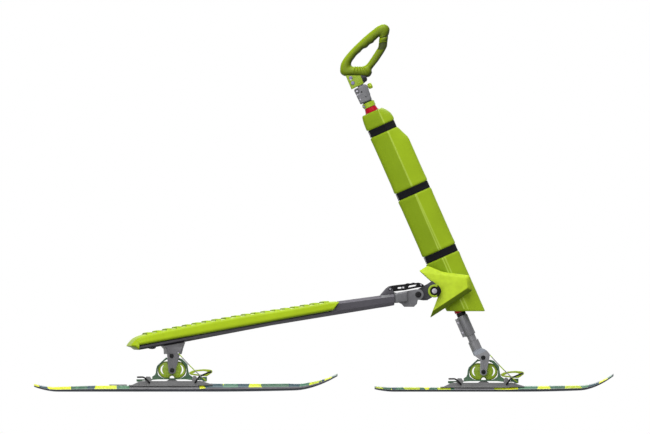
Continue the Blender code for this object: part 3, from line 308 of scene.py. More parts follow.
    @classmethod
    def _settled(cls) -> bpy.types.NodeTree:
        """Mask of fine dust on faces that look up."""
        g, given, out = cls._start("settled", {
            "Scale": ("Float", 30.0), "Amount": ("Float", 0.3),
        }, {"Mask": "Float"})
        place = g.add("TexCoord").outputs["Object"]
        normal = g.add("SeparateXYZ", in0=g.add("NewGeometry").outputs["Normal"])
        upward = g.spread(normal.outputs["Z"], 0.35, 0.95)
        noise = g.add("TexNoise", Vector=place, Scale=given.outputs["Scale"], Detail=5.0)
        cloud = g.spread(noise.outputs[0], 0.45, 0.75)
        mask = g.math("MULTIPLY", g.math("MULTIPLY", upward, cloud), given.outputs["Amount"])
        g.give(out, Mask=mask)
        return g.tree

    @classmethod
    def _leaning(cls) -> bpy.types.NodeTree:
        """Mask of faces that lean towards one direction in the piece's own axes, where finishes paint shade."""
        g, given, out = cls._start("leaning", {
            "Toward": ("Vector", (0.0, 0.0, -1.0)), "Low": ("Float", 0.0), "High": ("Float", 0.9),
        }, {"Mask": "Float"})
        normal = g.add("TexCoord").outputs["Normal"]
        share = g.add("VectorMath", {"operation": "DOT_PRODUCT"}, in0=normal, in1=given.outputs["Toward"])
        mask = g.spread(share.outputs["Value"], given.outputs["Low"], given.outputs["High"])
        g.give(out, Mask=mask)
        return g.tree


@dataclass(frozen=True)
class Finish:
    """A surface finish: one material with its tone, grain, drawn lines, wear, dust and painted shade on one side."""

    name: str
    color: Color
    roughness: float = 0.5
    metallic: float = 0.0
    specular: float = 0.3
    coat: float = 0.0
    tone: float = 0.12
    tone_scale: float = 9.0
    grain: float = 0.25
    grain_scale: float = 900.0
    grain_depth: float = 0.00025
    drawn: tuple[float, float, float] | None = None
    turn: tuple[float, float, float] = (0.0, 0.0, 0.0)
    wear: float = 0.0
    worn: Color = (0.5, 0.5, 0.5)
    wear_width: float = 0.0012
    scuffs: float = 0.0
    dust: float = 0.0
    dust_color: Color = (0.62, 0.64, 0.66)
    # shade, toward and lean: painted shade, a darker colour mixed in on faces whose normal leans towards one direction
    shade: Color | None = None
    toward: tuple[float, float, float] = (0.0, 0.0, -1.0)
    lean: tuple[float, float] = (0.0, 0.9)

    def pattern(self, g: Graph) -> object:
        """Colour before tone and wear: the plain colour here, a pattern in subclasses."""
        return (*self.color, 1.0)

    def relief(self, g: Graph, normal: object) -> object:
        """Further bump of a subclass, laid under the grain."""
        return normal

    def _surface_color(self, g: Graph) -> object:
        """Pattern with painted shade on the side it leans towards, tone, worn edges and dust."""
        plain = self.pattern(g)
        # Painted shade: the shade colour on faces that lean towards the given direction
        if self.shade:
            side = Effects.use(g, "leaning", Toward=self.toward, Low=self.lean[0], High=self.lean[1])
            plain = g.mix(side.outputs[0], plain, (*self.shade, 1.0))
        color = Effects.use(g, "tone", Color=plain, Scale=self.tone_scale, Amount=self.tone).outputs[0]
        if self.scuffs:
            scuff = Effects.use(g, "scuffs", Amount=self.scuffs)
            color = g.mix(scuff.outputs[0], color, (*self.worn, 1.0))
        if self.wear:
            edge = Effects.use(g, "worn_edge", Amount=self.wear, Width=self.wear_width)
            color = g.mix(edge.outputs[0], color, (*self.worn, 1.0))
        if self.dust:
            dust = Effects.use(g, "settled", Amount=self.dust)
            color = g.mix(dust.outputs[0], color, (*self.dust_color, 1.0))
        return color

    def build(self) -> bpy.types.Material:
        """Make the material.

        Returns:
            The finished material, named after the finish.
        """
        material = bpy.data.materials.new(self.name)
        material.use_nodes = True
        material.diffuse_color = (*self.color, 1.0)
        g = Graph(material.node_tree)
        shader = material.node_tree.nodes["Principled BSDF"]
        g.give(shader, Base_Color=self._surface_color(g))
        grain = Effects.use(g, "grain", Scale=self.grain_scale)
        value, height = grain.outputs["Value"], grain.outputs["Height"]
        if self.drawn:
            lines = Effects.use(g, "drawn", Stretch=self.drawn, Turn=self.turn)
            value, height = lines.outputs["Value"], lines.outputs["Height"]
        low, high = max(self.roughness - 0.12, 0.05), min(self.roughness + 0.12, 1.0)
        g.give(shader, Roughness=g.spread(value, 0.3, 0.7, low, high))
        normal = self.relief(g, None)
        bump = g.add("Bump", None, Strength=self.grain, Distance=self.grain_depth, Height=height)
        if normal is not None:
            g.tree.links.new(normal, bump.inputs["Normal"])
        g.give(shader, Normal=bump.outputs[0])
        for socket, amount in (("Metallic", self.metallic), ("Specular IOR Level", self.specular),
                               ("Coat Weight", self.coat), ("Coat Roughness", 0.12)):
            shader.inputs[socket].default_value = amount
        return material


@dataclass(frozen=True)
class SkiSheet(Finish):
    """Top sheet of a ski: an irregular patchwork of greens and yellows under a clear coat."""

    shift: float = 0.0
    patches: tuple[Color, ...] = ()

    def pattern(self, g: Graph) -> object:
        """Patches of two sizes, cut on the slant, from two cell textures."""
        place = g.add("TexCoord").outputs["Object"]
        slant = g.add("Mapping", in0=place, in1=(self.shift, 0.0, 0.0), in2=(0.0, 0.0, 0.62),
                      in3=(1.0, 0.55, 0.1))
        cells = g.add("TexVoronoi", {"distance": "CHEBYCHEV"}, Vector=slant.outputs[0], Scale=22.0,
                      Randomness=0.9)
        cross = g.add("Mapping", in0=place, in1=(0.4 + self.shift, 0.1, 0.0), in2=(0.0, 0.0, -0.75),
                      in3=(0.8, 0.5, 0.1))
        small = g.add("TexVoronoi", {"distance": "CHEBYCHEV"}, Vector=cross.outputs[0], Scale=38.0,
                      Randomness=1.0)
        pick = g.add("SeparateColor", in0=cells.outputs["Color"]).outputs[0]
        again = g.add("SeparateColor", in0=small.outputs["Color"]).outputs[0]
        gate = g.add("SeparateColor", in0=small.outputs["Color"]).outputs[1]
        first, second = self._ramp(g, pick), self._ramp(g, again)
        return g.mix(g.math("GREATER_THAN", gate, 0.72), first, second)

    def _ramp(self, g: Graph, value: object) -> object:
        """One of the patch colours for each value, in even steps."""
        node = g.add("ValToRGB", None, in0=value)
        ramp = node.color_ramp
        ramp.interpolation = "CONSTANT"
        count = len(self.patches)
        for k, color in enumerate(self.patches):
            stop = ramp.elements[k] if k < 2 else ramp.elements.new(0.99)
            stop.position = k / count
            stop.color = (*color, 1.0)
        return node.outputs[0]


@dataclass(frozen=True)
class StrapWeave(Finish):
    """Black webbing with a ribbed weave, its cords paler than the painted shade between them, and rubbed edges."""

    pitch: float = 0.0016

    def pattern(self, g: Graph) -> object:
        """Dark between the cords: painted shade in the weave's hollows."""
        weave = Effects.use(g, "webbing", Pitch=self.pitch)
        dark = tuple(0.35 * c for c in self.color)
        return g.mix(weave.outputs["Value"], (*dark, 1.0), (*self.color, 1.0))

    def relief(self, g: Graph, normal: object) -> object:
        """Raised cords of the weave."""
        weave = Effects.use(g, "webbing", Pitch=self.pitch)
        bump = g.add("Bump", None, Strength=0.9, Distance=0.0004, Height=weave.outputs["Height"])
        return bump.outputs[0]


@dataclass(frozen=True)
class Foam(Finish):
    """Moulded closed-cell foam with a soft skin of shallow cells."""

    cell: float = 260.0
    cell_depth: float = 0.0006

    def relief(self, g: Graph, normal: object) -> object:
        """Shallow dimples of the foam's skin."""
        place = g.add("TexCoord").outputs["Object"]
        cells = g.add("TexVoronoi", {"feature": "SMOOTH_F1"}, Vector=place, Scale=self.cell)
        bump = g.add("Bump", None, Strength=0.35, Distance=self.cell_depth,
                     Height=cells.outputs["Distance"])
        return bump.outputs[0]


@dataclass(frozen=True)
class Braid(Finish):
    """Braided cord in grey with lime lengths."""

    lime: Color = (0.42, 0.60, 0.02)
    period: float = 0.037

    def pattern(self, g: Graph) -> object:
        """Grey and lime by turns along the cord."""
        height = g.add("SeparateXYZ", in0=g.add("TexCoord").outputs["Object"]).outputs["Z"]
        wave = g.math("SINE", g.math("MULTIPLY_ADD", height, math.tau / self.period, 2.25))
        return g.mix(g.spread(wave, 0.2, 0.4), (*self.color, 1.0), (*self.lime, 1.0))


CAST = Finish("cast_alloy", srgb(104, 104, 107), roughness=0.46, metallic=0.4, tone=0.16,
              tone_scale=25.0, grain=0.5, grain_scale=620.0, grain_depth=0.0004, wear=0.6,
              worn=srgb(188, 188, 192))


class Finishes:
    """Every finish of the trike, made into a material on first use."""

    table: dict[str, Finish] = {f.name: f for f in (
        # Pad foam: the shade colour paints shade on the rear facets; the lighter worn edges are wear and also a
        # painted highlight along the facet ridges
        Foam("pad_foam_skin", srgb(156, 184, 28), roughness=0.55, specular=0.18, tone=0.08, grain=0.3, wear=0.35,
             worn=srgb(196, 214, 92), wear_width=0.003, cell=210.0, dust=0.06, shade=srgb(138, 166, 18),
             toward=(-0.915, 0.0, -0.4035), lean=(-0.15, 0.25)),
        # Lighter crease faces: a painted highlight along the pad's ridge
        Foam("pad_crease_sheen", srgb(172, 198, 62), roughness=0.45, specular=0.3, tone=0.1, grain=0.3,
             cell=210.0),
        # Deck foam: the shade colour paints shade on the lower flank and underside
        Foam("deck_foam_skin", srgb(174, 202, 24), roughness=0.46, specular=0.16, coat=0.05, tone=0.08, grain=0.25,
             wear=0.12, worn=srgb(205, 226, 80), wear_width=0.003, cell=240.0, dust=0.04,
             shade=srgb(116, 140, 6), toward=(0.0, 0.0, -1.0), lean=(-0.05, 0.6)),
        # Treads: the shade colour paints the shadow on the rear face of each block
        Foam("deck_tread_rubber", srgb(168, 198, 22), roughness=0.6, specular=0.15, tone=0.16, grain=0.4,
             wear=0.35, worn=srgb(206, 222, 110), cell=420.0, dust=0.08, shade=srgb(58, 72, 6),
             toward=(-0.98, 0.0, -0.2), lean=(0.15, 0.6)),
        StrapWeave("strap_webbing", (0.007, 0.007, 0.009), roughness=0.75, specular=0.12, tone=0.2, wear=0.2,
                   worn=(0.08, 0.08, 0.085)),
        # Star cover: the shade colour paints shade on its lower and forward bevels
        Finish("star_cover_plastic", srgb(196, 223, 50), roughness=0.46, specular=0.16, tone=0.1, tone_scale=60.0,
               grain=0.5, grain_scale=520.0, grain_depth=0.0005, wear=0.5, worn=srgb(204, 226, 84),
               shade=srgb(96, 118, 4), toward=(0.5, 0.0, -0.866), lean=(0.08, 0.5)),
        Finish("lime_paint", srgb(136, 162, 14), roughness=0.38, specular=0.25, coat=0.2, tone=0.1, grain=0.2,
               wear=0.5, worn=srgb(206, 224, 110)),
        Finish("collar_lime", srgb(156, 184, 16), roughness=0.36, specular=0.25, coat=0.25, tone=0.08, wear=0.45,
               worn=srgb(208, 226, 110)),
        # Grip: the shade colour paints shade on its lower, forward side
        Finish("grip_plastic", srgb(146, 172, 6), roughness=0.42, specular=0.16, coat=0.05, tone=0.08, grain=0.12,
               grain_scale=700.0, wear=0.25, worn=srgb(190, 214, 60), shade=srgb(44, 55, 2),
               toward=(0.62, 0.0, -0.785), lean=(-0.9, 0.7)),
        CAST,
        # Knuckle alloy: the shade colour paints shade on its underside
        replace(CAST, name="knuckle_alloy", color=srgb(106, 106, 109), worn=srgb(170, 170, 174),
                shade=srgb(66, 66, 70), toward=(0.0, 0.0, -1.0), lean=(0.1, 0.9)),
        replace(CAST, name="yoke_alloy", color=srgb(60, 60, 64), roughness=0.5, metallic=0.35, tone=0.18,
                tone_scale=22.0, grain_scale=560.0, wear=0.5, worn=srgb(150, 150, 155)),
        Finish("rail_alloy", srgb(82, 80, 86), roughness=0.42, metallic=0.5, tone=0.12,
               drawn=(5.0, 700.0, 700.0), grain=0.35, grain_depth=0.00012, wear=0.45,
               worn=srgb(150, 148, 156), scuffs=0.12),
        Finish("tube_alloy", srgb(134, 134, 138), roughness=0.36, metallic=0.6, tone=0.1,
               drawn=(700.0, 700.0, 6.0), turn=(0.0, RAKE, 0.0), grain=0.3, grain_depth=0.0001,
               wear=0.5, worn=srgb(200, 200, 204), scuffs=0.15),
        replace(CAST, name="fork_alloy", color=srgb(104, 103, 106), roughness=0.45, metallic=0.35,
                tone_scale=30.0, grain=0.45, grain_scale=600.0, grain_depth=0.0003, worn=srgb(176, 176, 180)),
        replace(CAST, name="front_fork_alloy", color=srgb(128, 128, 131), roughness=0.45, metallic=0.35,
                tone=0.14, tone_scale=30.0, grain=0.45, grain_scale=600.0, grain_depth=0.0003, wear=0.5,
                worn=srgb(182, 182, 186)),
        replace(CAST, name="clamp_alloy", color=srgb(122, 122, 125), tone=0.14, wear=0.5,
                worn=srgb(182, 182, 186)),
        Finish("band_alloy", srgb(134, 138, 146), roughness=0.4, metallic=0.35, tone=0.14,
               tone_scale=30.0, grain=0.4, wear=0.5, worn=srgb(190, 192, 198)),
        Finish("truck_green_nylon", srgb(66, 98, 72), roughness=0.46, tone=0.16, tone_scale=24.0,
               grain=0.35, grain_scale=700.0, wear=0.55, worn=srgb(134, 160, 134), dust=0.12),
        Finish("spring_block_lime", srgb(140, 168, 10), roughness=0.34, specular=0.3, coat=0.15, tone=0.16,
               tone_scale=40.0, grain=0.2, wear=0.3, worn=srgb(206, 226, 96)),
        Finish("plate_grey_nylon", srgb(120, 120, 121), roughness=0.55, tone=0.14, tone_scale=18.0,
               drawn=(9.0, 500.0, 500.0), grain=0.35, grain_depth=0.0002, wear=0.5,
               worn=srgb(176, 176, 178), dust=0.12),
        Finish("lever_lime_plastic", srgb(166, 190, 22), roughness=0.32, specular=0.25, coat=0.2, tone=0.1,
               grain=0.2, wear=0.5, worn=srgb(222, 236, 140)),
        Finish("black_steel", (0.006, 0.006, 0.007), roughness=0.4, metallic=0.3, specular=0.2, tone=0.2,
               grain=0.2, wear=0.4, worn=(0.12, 0.12, 0.12)),
        Finish("black_nylon", (0.005, 0.005, 0.006), roughness=0.42, specular=0.16, tone=0.2, grain=0.3, wear=0.25,
               worn=(0.05, 0.05, 0.05)),
        Finish("bright_steel", srgb(152, 150, 158), roughness=0.3, metallic=0.85, tone=0.1,
               drawn=(300.0, 300.0, 300.0), grain=0.25, grain_depth=0.00008, wear=0.2,
               worn=srgb(235, 235, 240)),
        Finish("violet_anodised", srgb(112, 106, 140), roughness=0.32, metallic=0.6, tone=0.14,
               grain=0.2, wear=0.4, worn=srgb(190, 188, 205)),
        Finish("red_bushing", srgb(176, 4, 30), roughness=0.38, specular=0.12, coat=0.05, tone=0.1, grain=0.15,
               wear=0.15, worn=srgb(222, 92, 96)),
        Finish("ski_sidewall", srgb(118, 116, 122), roughness=0.5, tone=0.12, tone_scale=40.0,
               drawn=(8.0, 400.0, 900.0), grain=0.35, grain_depth=0.0001, scuffs=0.15),
        # Dark base colour: the real base underneath, and a band up the ski's side that also paints the contact shadow
        Finish("ski_base", srgb(34, 38, 44), roughness=0.4, tone=0.14, drawn=(6.0, 500.0, 500.0),
               grain=0.3, grain_depth=0.0001, scuffs=0.25, worn=srgb(92, 96, 102)),
        Finish("ski_edge_steel", srgb(70, 74, 80), roughness=0.28, metallic=0.8, tone=0.16,
               drawn=(5.0, 300.0, 900.0), grain=0.3, grain_depth=0.0001, scuffs=0.3,
               worn=srgb(190, 192, 198)),
        Braid("tether_braid", srgb(150, 152, 150), roughness=0.7, specular=0.15, tone=0.2, grain=0.8,
              grain_scale=1500.0, grain_depth=0.0004),
        Finish("ski_mount_grey", srgb(132, 132, 134), roughness=0.5, tone=0.12, tone_scale=22.0,
               grain=0.35, wear=0.5, worn=srgb(186, 186, 188), dust=0.1),
        Finish("spring_lip_olive", srgb(96, 112, 18), roughness=0.42, tone=0.2, tone_scale=50.0,
               grain=0.3, wear=0.5, worn=srgb(180, 200, 70)),
        # Painted shade for the grip's pocket and groove
        Finish("grip_shade", srgb(58, 68, 10), roughness=0.5, tone=0.2, grain=0.3, wear=0.2,
               worn=srgb(120, 140, 40)),
        Finish("lug_dark", srgb(46, 44, 52), roughness=0.45, tone=0.2, grain=0.3, wear=0.4,
               worn=srgb(120, 118, 126)),
        # Black that paints shade in bores, gaps and hollows
        Finish("dark_recess", (0.006, 0.006, 0.007), roughness=0.6, specular=0.1, tone=0.2, grain=0.3),
    )}
    _made: dict[str, bpy.types.Material] = {}
    GREENS: tuple[Color, ...] = (
        srgb(72, 122, 98), srgb(236, 242, 36), srgb(58, 104, 78), srgb(196, 214, 46),
        srgb(80, 132, 96), srgb(26, 70, 80), srgb(224, 236, 40), srgb(66, 112, 90),
    )

    @classmethod
    def add(cls, finish: Finish) -> None:
        """Add one more finish, such as a ski's own sheet."""
        cls.table[finish.name] = finish

    @classmethod
    def get(cls, name: str) -> bpy.types.Material:
        """Material of a finish."""
        if name not in cls._made:
            cls._made[name] = cls.table[name].build()
        return cls._made[name]


class Shape:
    """Mesh work in the row frame that several sub-assemblies share."""

    @staticmethod
    def tidy(bm: bmesh.types.BMesh) -> bmesh.types.BMesh:
        """Point every face outwards."""
        bmesh.ops.recalc_face_normals(bm, faces=bm.faces)
        return bm

    @staticmethod
    def between(knots: Sequence[tuple[float, float]], place: float) -> float:
        """Value at a place on the line through the knots, level beyond its ends."""
        if place <= knots[0][0]:
            return knots[0][1]
        for (a, low), (b, high) in zip(knots, knots[1:]):
            if place <= b:
                return low + (high - low) * (place - a) / (b - a)
        return knots[-1][1]

    @staticmethod
    def spline(a: Vector, b: Vector, c: Vector, d: Vector, t: float) -> Vector:
        """Point of the Catmull-Rom curve from b to c at a share of the way."""
        return 0.5 * (2 * b + (c - a) * t + (2 * a - 5 * b + 4 * c - d) * t * t
                      + (3 * b - a - 3 * c + d) * t ** 3)

    @staticmethod
    def corner(before: Vector, p: Vector, after: Vector, reach: float, steps: int) -> list[Vector]:
        """Points of a rounded corner that starts and ends at a distance from its point."""
        start = p + (before - p).normalized() * reach
        end = p + (after - p).normalized() * reach
        shares = (i / steps for i in range(steps + 1))
        return [start * (1 - t) ** 2 + p * 2 * t * (1 - t) + end * t * t for t in shares]

    @staticmethod
    def mirrored(half: Sequence[tuple[float, float]]) -> list[tuple[float, float]]:
        """Ring of a half section and its mirror image across the middle."""
        return [*half, *((-y, z) for y, z in reversed(half))]

    @staticmethod
    def standing(seat: Vector, out: Vector) -> Matrix:
        """Matrix that puts the local Z axis at a seat, along a direction."""
        return Matrix.Translation(seat) @ out.to_track_quat("Z", "X").to_matrix().to_4x4()

    @staticmethod
    def turned(profile: Sequence[tuple[float, float]], matrix: Matrix, count: int) -> bmesh.types.BMesh:
        """Turn a profile given in millimetres about the local Z axis."""
        return Shape.revolve([(r * MM, h * MM) for r, h in profile], matrix, count)

    @staticmethod
    def cut(bm: bmesh.types.BMesh, place: Vector, normal: Vector) -> None:
        """Part the faces along a plane, keep both sides and put the points and faces in a fixed order."""
        everything = bm.verts[:] + bm.edges[:] + bm.faces[:]
        bmesh.ops.bisect_plane(bm, geom=everything, plane_co=place, plane_no=normal)
        spread = Vector((1.0, 3.7, 11.3))
        bm.verts.sort(key=lambda v: v.co.dot(spread))
        bm.faces.sort(key=lambda f: f.calc_center_median().dot(spread))

    @staticmethod
    def revolve(profile: Sequence[tuple[float, float]], matrix: Matrix, count: int = 48) -> bmesh.types.BMesh:
        """Turn a profile about the local Z axis.

        Args:
            profile: Radius and height pairs; an end at radius 0 closes on the axis.
            matrix: From the profile's axes to the row frame.
            count: Faces round the axis.

        Returns:
            The turned mesh; a profile with no end on the axis joins back on itself.
        """
        bm = bmesh.new()
        rows: list[list[bmesh.types.BMVert]] = []
        for radius, height in profile:
            if radius < 1e-7:
                rows.append([bm.verts.new(matrix @ Vector((0.0, 0.0, height)))])
                continue
            turn = (math.tau * k / count for k in range(count))
            rows.append([bm.verts.new(matrix @ Vector((radius * math.cos(a), radius * math.sin(a), height)))
                         for a in turn])
        closed = len(rows[0]) > 1 and len(rows[-1]) > 1
        pairs = list(zip(rows, rows[1:] + rows[:1] if closed else rows[1:]))
        for low, high in pairs:
            for k in range(count):
                n = (k + 1) % count
                ring = [low[k % len(low)], low[n % len(low)], high[n % len(high)], high[k % len(high)]]
                unique = list(dict.fromkeys(ring))
                if len(unique) > 2:
                    bm.faces.new(unique)
        return Shape.tidy(bm)

    @staticmethod
    def loft(rows: Sequence[Sequence[Vector]], caps: bool = True) -> bmesh.types.BMesh:
        """Join closed rings with equal counts, capping the first and last."""
        bm = bmesh.new()
        made = [[bm.verts.new(p) for p in row] for row in rows]
        count = len(made[0])
        for low, high in zip(made, made[1:]):
            for k in range(count):
                n = (k + 1) % count
                bm.faces.new((low[k], low[n], high[n], high[k]))
        if caps:
            bm.faces.new(made[0])
            bm.faces.new(made[-1])
        return Shape.tidy(bm)

    @staticmethod
    def sweep(path: Sequence[Vector], section: Callable[[float], Sequence[tuple[float, float]]],
              up: Vector, closed: bool = False) -> bmesh.types.BMesh:
        """Sweep a section along a path that keeps near one plane.

        Args:
            path: Points in the row frame.
            section: Gives the section's points (across, up) for a share of the path.
            up: Direction that the section's second axis keeps to.
            closed: Whether the path joins back on itself.

        Returns:
            The swept mesh, capped where it is open.
        """
        rows = []
        count = len(path)
        for k, place in enumerate(path):
            if closed:
                ahead = path[(k + 1) % count] - path[k - 1]
            else:
                ahead = path[min(k + 1, count - 1)] - path[max(k - 1, 0)]
            side = ahead.cross(up).normalized()
            top = side.cross(ahead).normalized()
            rows.append([place + side * a + top * b for a, b in section(k / max(count - 1, 1))])
        if not closed:
            return Shape.loft(rows)
        bm = Shape.loft(rows + [rows[0]], caps=False)
        bmesh.ops.remove_doubles(bm, verts=bm.verts, dist=1e-7)
        return Shape.tidy(bm)

    @staticmethod
    def circle(radius: float, count: int = 16, flat: float = 1.0) -> list[tuple[float, float]]:
        """Section points of a round or oval rod."""
        steps = (math.tau * k / count for k in range(count))
        return [(radius * math.cos(a), radius * flat * math.sin(a)) for a in steps]

    @staticmethod
    def smooth_path(points: Sequence[Vector], step: float, closed: bool = False) -> list[Vector]:
        """Points along a Catmull-Rom curve through the given points, about a step apart."""
        out = []
        count = len(points)
        spans = count if closed else count - 1
        for k in range(spans):
            def at(i: int) -> Vector:
                return points[i % count] if closed else points[min(max(i, 0), count - 1)]
            a, b, c, d = at(k - 1), at(k), at(k + 1), at(k + 2)
            pieces = max(int(round((c - b).length / step)), 1)
            for i in range(pieces):
                t = i / pieces
                out.append(Shape.spline(a, b, c, d, t))
        if not closed:
            out.append(points[-1].copy())
        return out

    @staticmethod
    def slab(loops: Sequence[Sequence[Vector]], low: float, high: float, edge: float,
             matrix: Matrix, steps: int = 3, low_edge: float | None = None) -> bmesh.types.BMesh:
        """Plate with holes and rounded rims, cut in the local XZ plane and thick along Y.

        Args:
            loops: Outline first, then holes, as points with X and Z.
            low: Y of one face.
            high: Y of the other face.
            edge: Radius of the rims.
            matrix: From the plate's axes to the row frame.
            steps: Faces across each rounding.
            low_edge: Radius of the rims at the low face, where it differs.

        Returns:
            The plate.
        """
        low_edge = edge if low_edge is None else low_edge
        layers = []
        for radius, base, way in ((low_edge, low, 1.0), (edge, high, -1.0)):
            if radius <= 0.0:
                layers.append([(0.0, base)])
                continue
            ring = []
            for k in range(steps + 1):
                a = math.pi / 2 * k / steps
                ring.append((radius * (1 - math.sin(a)), base + way * radius * (1 - math.cos(a))))
            layers.append(ring)
        ordered = layers[0] + list(reversed(layers[1]))
        bm = bmesh.new()
        rows = []
        for amount, level in ordered:
            row = []
            for n, loop in enumerate(loops):
                moved = Shape.inset(loop, amount if n == 0 else -amount)
                row.append([bm.verts.new(matrix @ Vector((p.x, level, p.z))) for p in moved])
            rows.append(row)
        for below, above in zip(rows, rows[1:]):
            for one, two in zip(below, above):
                for k in range(len(one)):
                    n = (k + 1) % len(one)
                    bm.faces.new((one[k], one[n], two[n], two[k]))
        for row, (amount, level) in ((rows[0], ordered[0]), (rows[-1], ordered[-1])):
            flat = [[Vector((p.x, p.z, 0.0)) for p in Shape.inset(loop, amount if n == 0 else -amount)]
                    for n, loop in enumerate(loops)]
            verts = [v for ring in row for v in ring]
            for tri in tessellate_polygon(flat):
                bm.faces.new([verts[i] for i in tri])
        bmesh.ops.dissolve_limit(bm, angle_limit=0.002, verts=bm.verts, edges=bm.edges)
        return Shape.tidy(bm)

    @staticmethod
    def inset(loop: Sequence[Vector], amount: float) -> list[Vector]:
        """Move a closed XZ loop inwards, or outwards where the amount is negative."""
        if abs(amount) < 1e-9:
            return [p.copy() for p in loop]
        area = sum(a.x * b.z - b.x * a.z for a, b in zip(loop, list(loop[1:]) + [loop[0]]))
        way = 1.0 if area > 0 else -1.0
        out = []
        count = len(loop)
        for k, p in enumerate(loop):
            one = (p - loop[k - 1]).normalized()
            two = (loop[(k + 1) % count] - p).normalized()
            first, second = Vector((-one.z, 0.0, one.x)) * way, Vector((-two.z, 0.0, two.x)) * way
            both = first + second
            share = max(both.length_squared / 2.0, 0.35)
            out.append(p + both * (amount / share))
        return out

    @staticmethod
    def rounded(points: Sequence[tuple[float, float]], radius: float | Sequence[float],
                steps: int = 5, unit: float = MM) -> list[Vector]:
        """Closed XZ loop through the corners, each rounded by up to the radius."""
        corners = [Vector((x * unit, 0.0, z * unit)) for x, z in points]
        radii = [radius] * len(corners) if isinstance(radius, (int, float)) else list(radius)
        out = []
        count = len(corners)
        for k, p in enumerate(corners):
            before, after = corners[k - 1], corners[(k + 1) % count]
            reach = min(radii[k] * unit, 0.48 * (before - p).length, 0.48 * (after - p).length)
            if reach < 1e-7:
                out.append(p)
            else:
                out += Shape.corner(before, p, after, reach, steps)
        return out

    @staticmethod
    def ring(x: float, z: float, radius: float, count: int = 32, unit: float = MM) -> list[Vector]:
        """Round XZ loop, as for a bore."""
        steps = (math.tau * k / count for k in range(count))
        return [Vector(((x + radius * math.cos(a)) * unit, 0.0, (z + radius * math.sin(a)) * unit))
                for a in steps]

    @staticmethod
    def eased(nodes: Sequence[str], width: float, segments: int = 2, angle: float = 28.0,
              moved: Callable[[Vector], Vector] | None = None) -> bmesh.types.BMesh:
        """CAD nodes' own shape with its sharp edges rounded.

        Args:
            nodes: CAD nodes to take the shape from.
            width: Width of the roundings.
            segments: Faces across each rounding.
            angle: Edges that turn by more than this many degrees are rounded.
            moved: Gives the new place of a point, where the shape differs a little from the node.

        Returns:
            The eased mesh.
        """
        bm = bmesh.new()
        for node in nodes:
            bm.from_mesh(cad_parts[node].data)
        bmesh.ops.remove_doubles(bm, verts=bm.verts, dist=2e-6)
        bmesh.ops.dissolve_limit(bm, angle_limit=math.radians(0.6), verts=bm.verts, edges=bm.edges)
        for vert in bm.verts if moved else ():
            vert.co = moved(vert.co)
        sharp = [e for e in bm.edges if len(e.link_faces) == 2
                 and e.calc_face_angle(0.0) > math.radians(angle)]
        bmesh.ops.bevel(bm, geom=sharp, offset=width, segments=segments, profile=0.5,
                        affect="EDGES", clamp_overlap=True)
        bmesh.ops.remove_doubles(bm, verts=bm.verts, dist=2e-6)
        return Shape.tidy(bm)

    @staticmethod
    def join(*parts: bmesh.types.BMesh) -> bmesh.types.BMesh:
        """Put several meshes into one."""
        bm = bmesh.new()
        for part in parts:
            mesh = bpy.data.meshes.new("join")
            part.to_mesh(mesh)
            part.free()
            bm.from_mesh(mesh)
            bpy.data.meshes.remove(mesh)
        return bm


class Workshop:
    """Turns meshes into named pieces that ride on the frame's bodies."""

    def __init__(self) -> None:
        """Start with no pieces made."""
        self.made: list[str] = []

    def piece(self, name: str, bm: bmesh.types.BMesh, finish: str | Sequence[str], body: str,
              slot: str, replaces: Sequence[str] = (), angle: float = 35.0) -> bpy.types.Object:
        """Add one piece.

        Args:
            name: Name of the piece.
            bm: Its mesh in the row frame, freed here.
            finish: Its finish, or several where faces carry a material index.
            body: CAD body it rides on.
            slot: Material slot of the record that it belongs to; not used.
            replaces: CAD nodes it stands for.
            angle: Edges that turn by more than this many degrees stay sharp.

        Returns:
            The new object.
        """
        mesh = bpy.data.meshes.new(name)
        bm.to_mesh(mesh)
        bm.free()
        mesh.shade_smooth()
        mesh.set_sharp_from_angle(angle=math.radians(angle))
        for one in [finish] if isinstance(finish, str) else finish:
            mesh.materials.append(Finishes.get(one))
        obj = bpy.data.objects.new(name, mesh)
        bpy.context.scene.collection.objects.link(obj)
        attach(obj, body)
        if replaces:
            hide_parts(*replaces)
        self.made.append(name)
        LOG.info("%s: %d faces on %s%s", name, len(mesh.polygons), body,
                 ", for " + ", ".join(replaces) if replaces else "")
        return obj


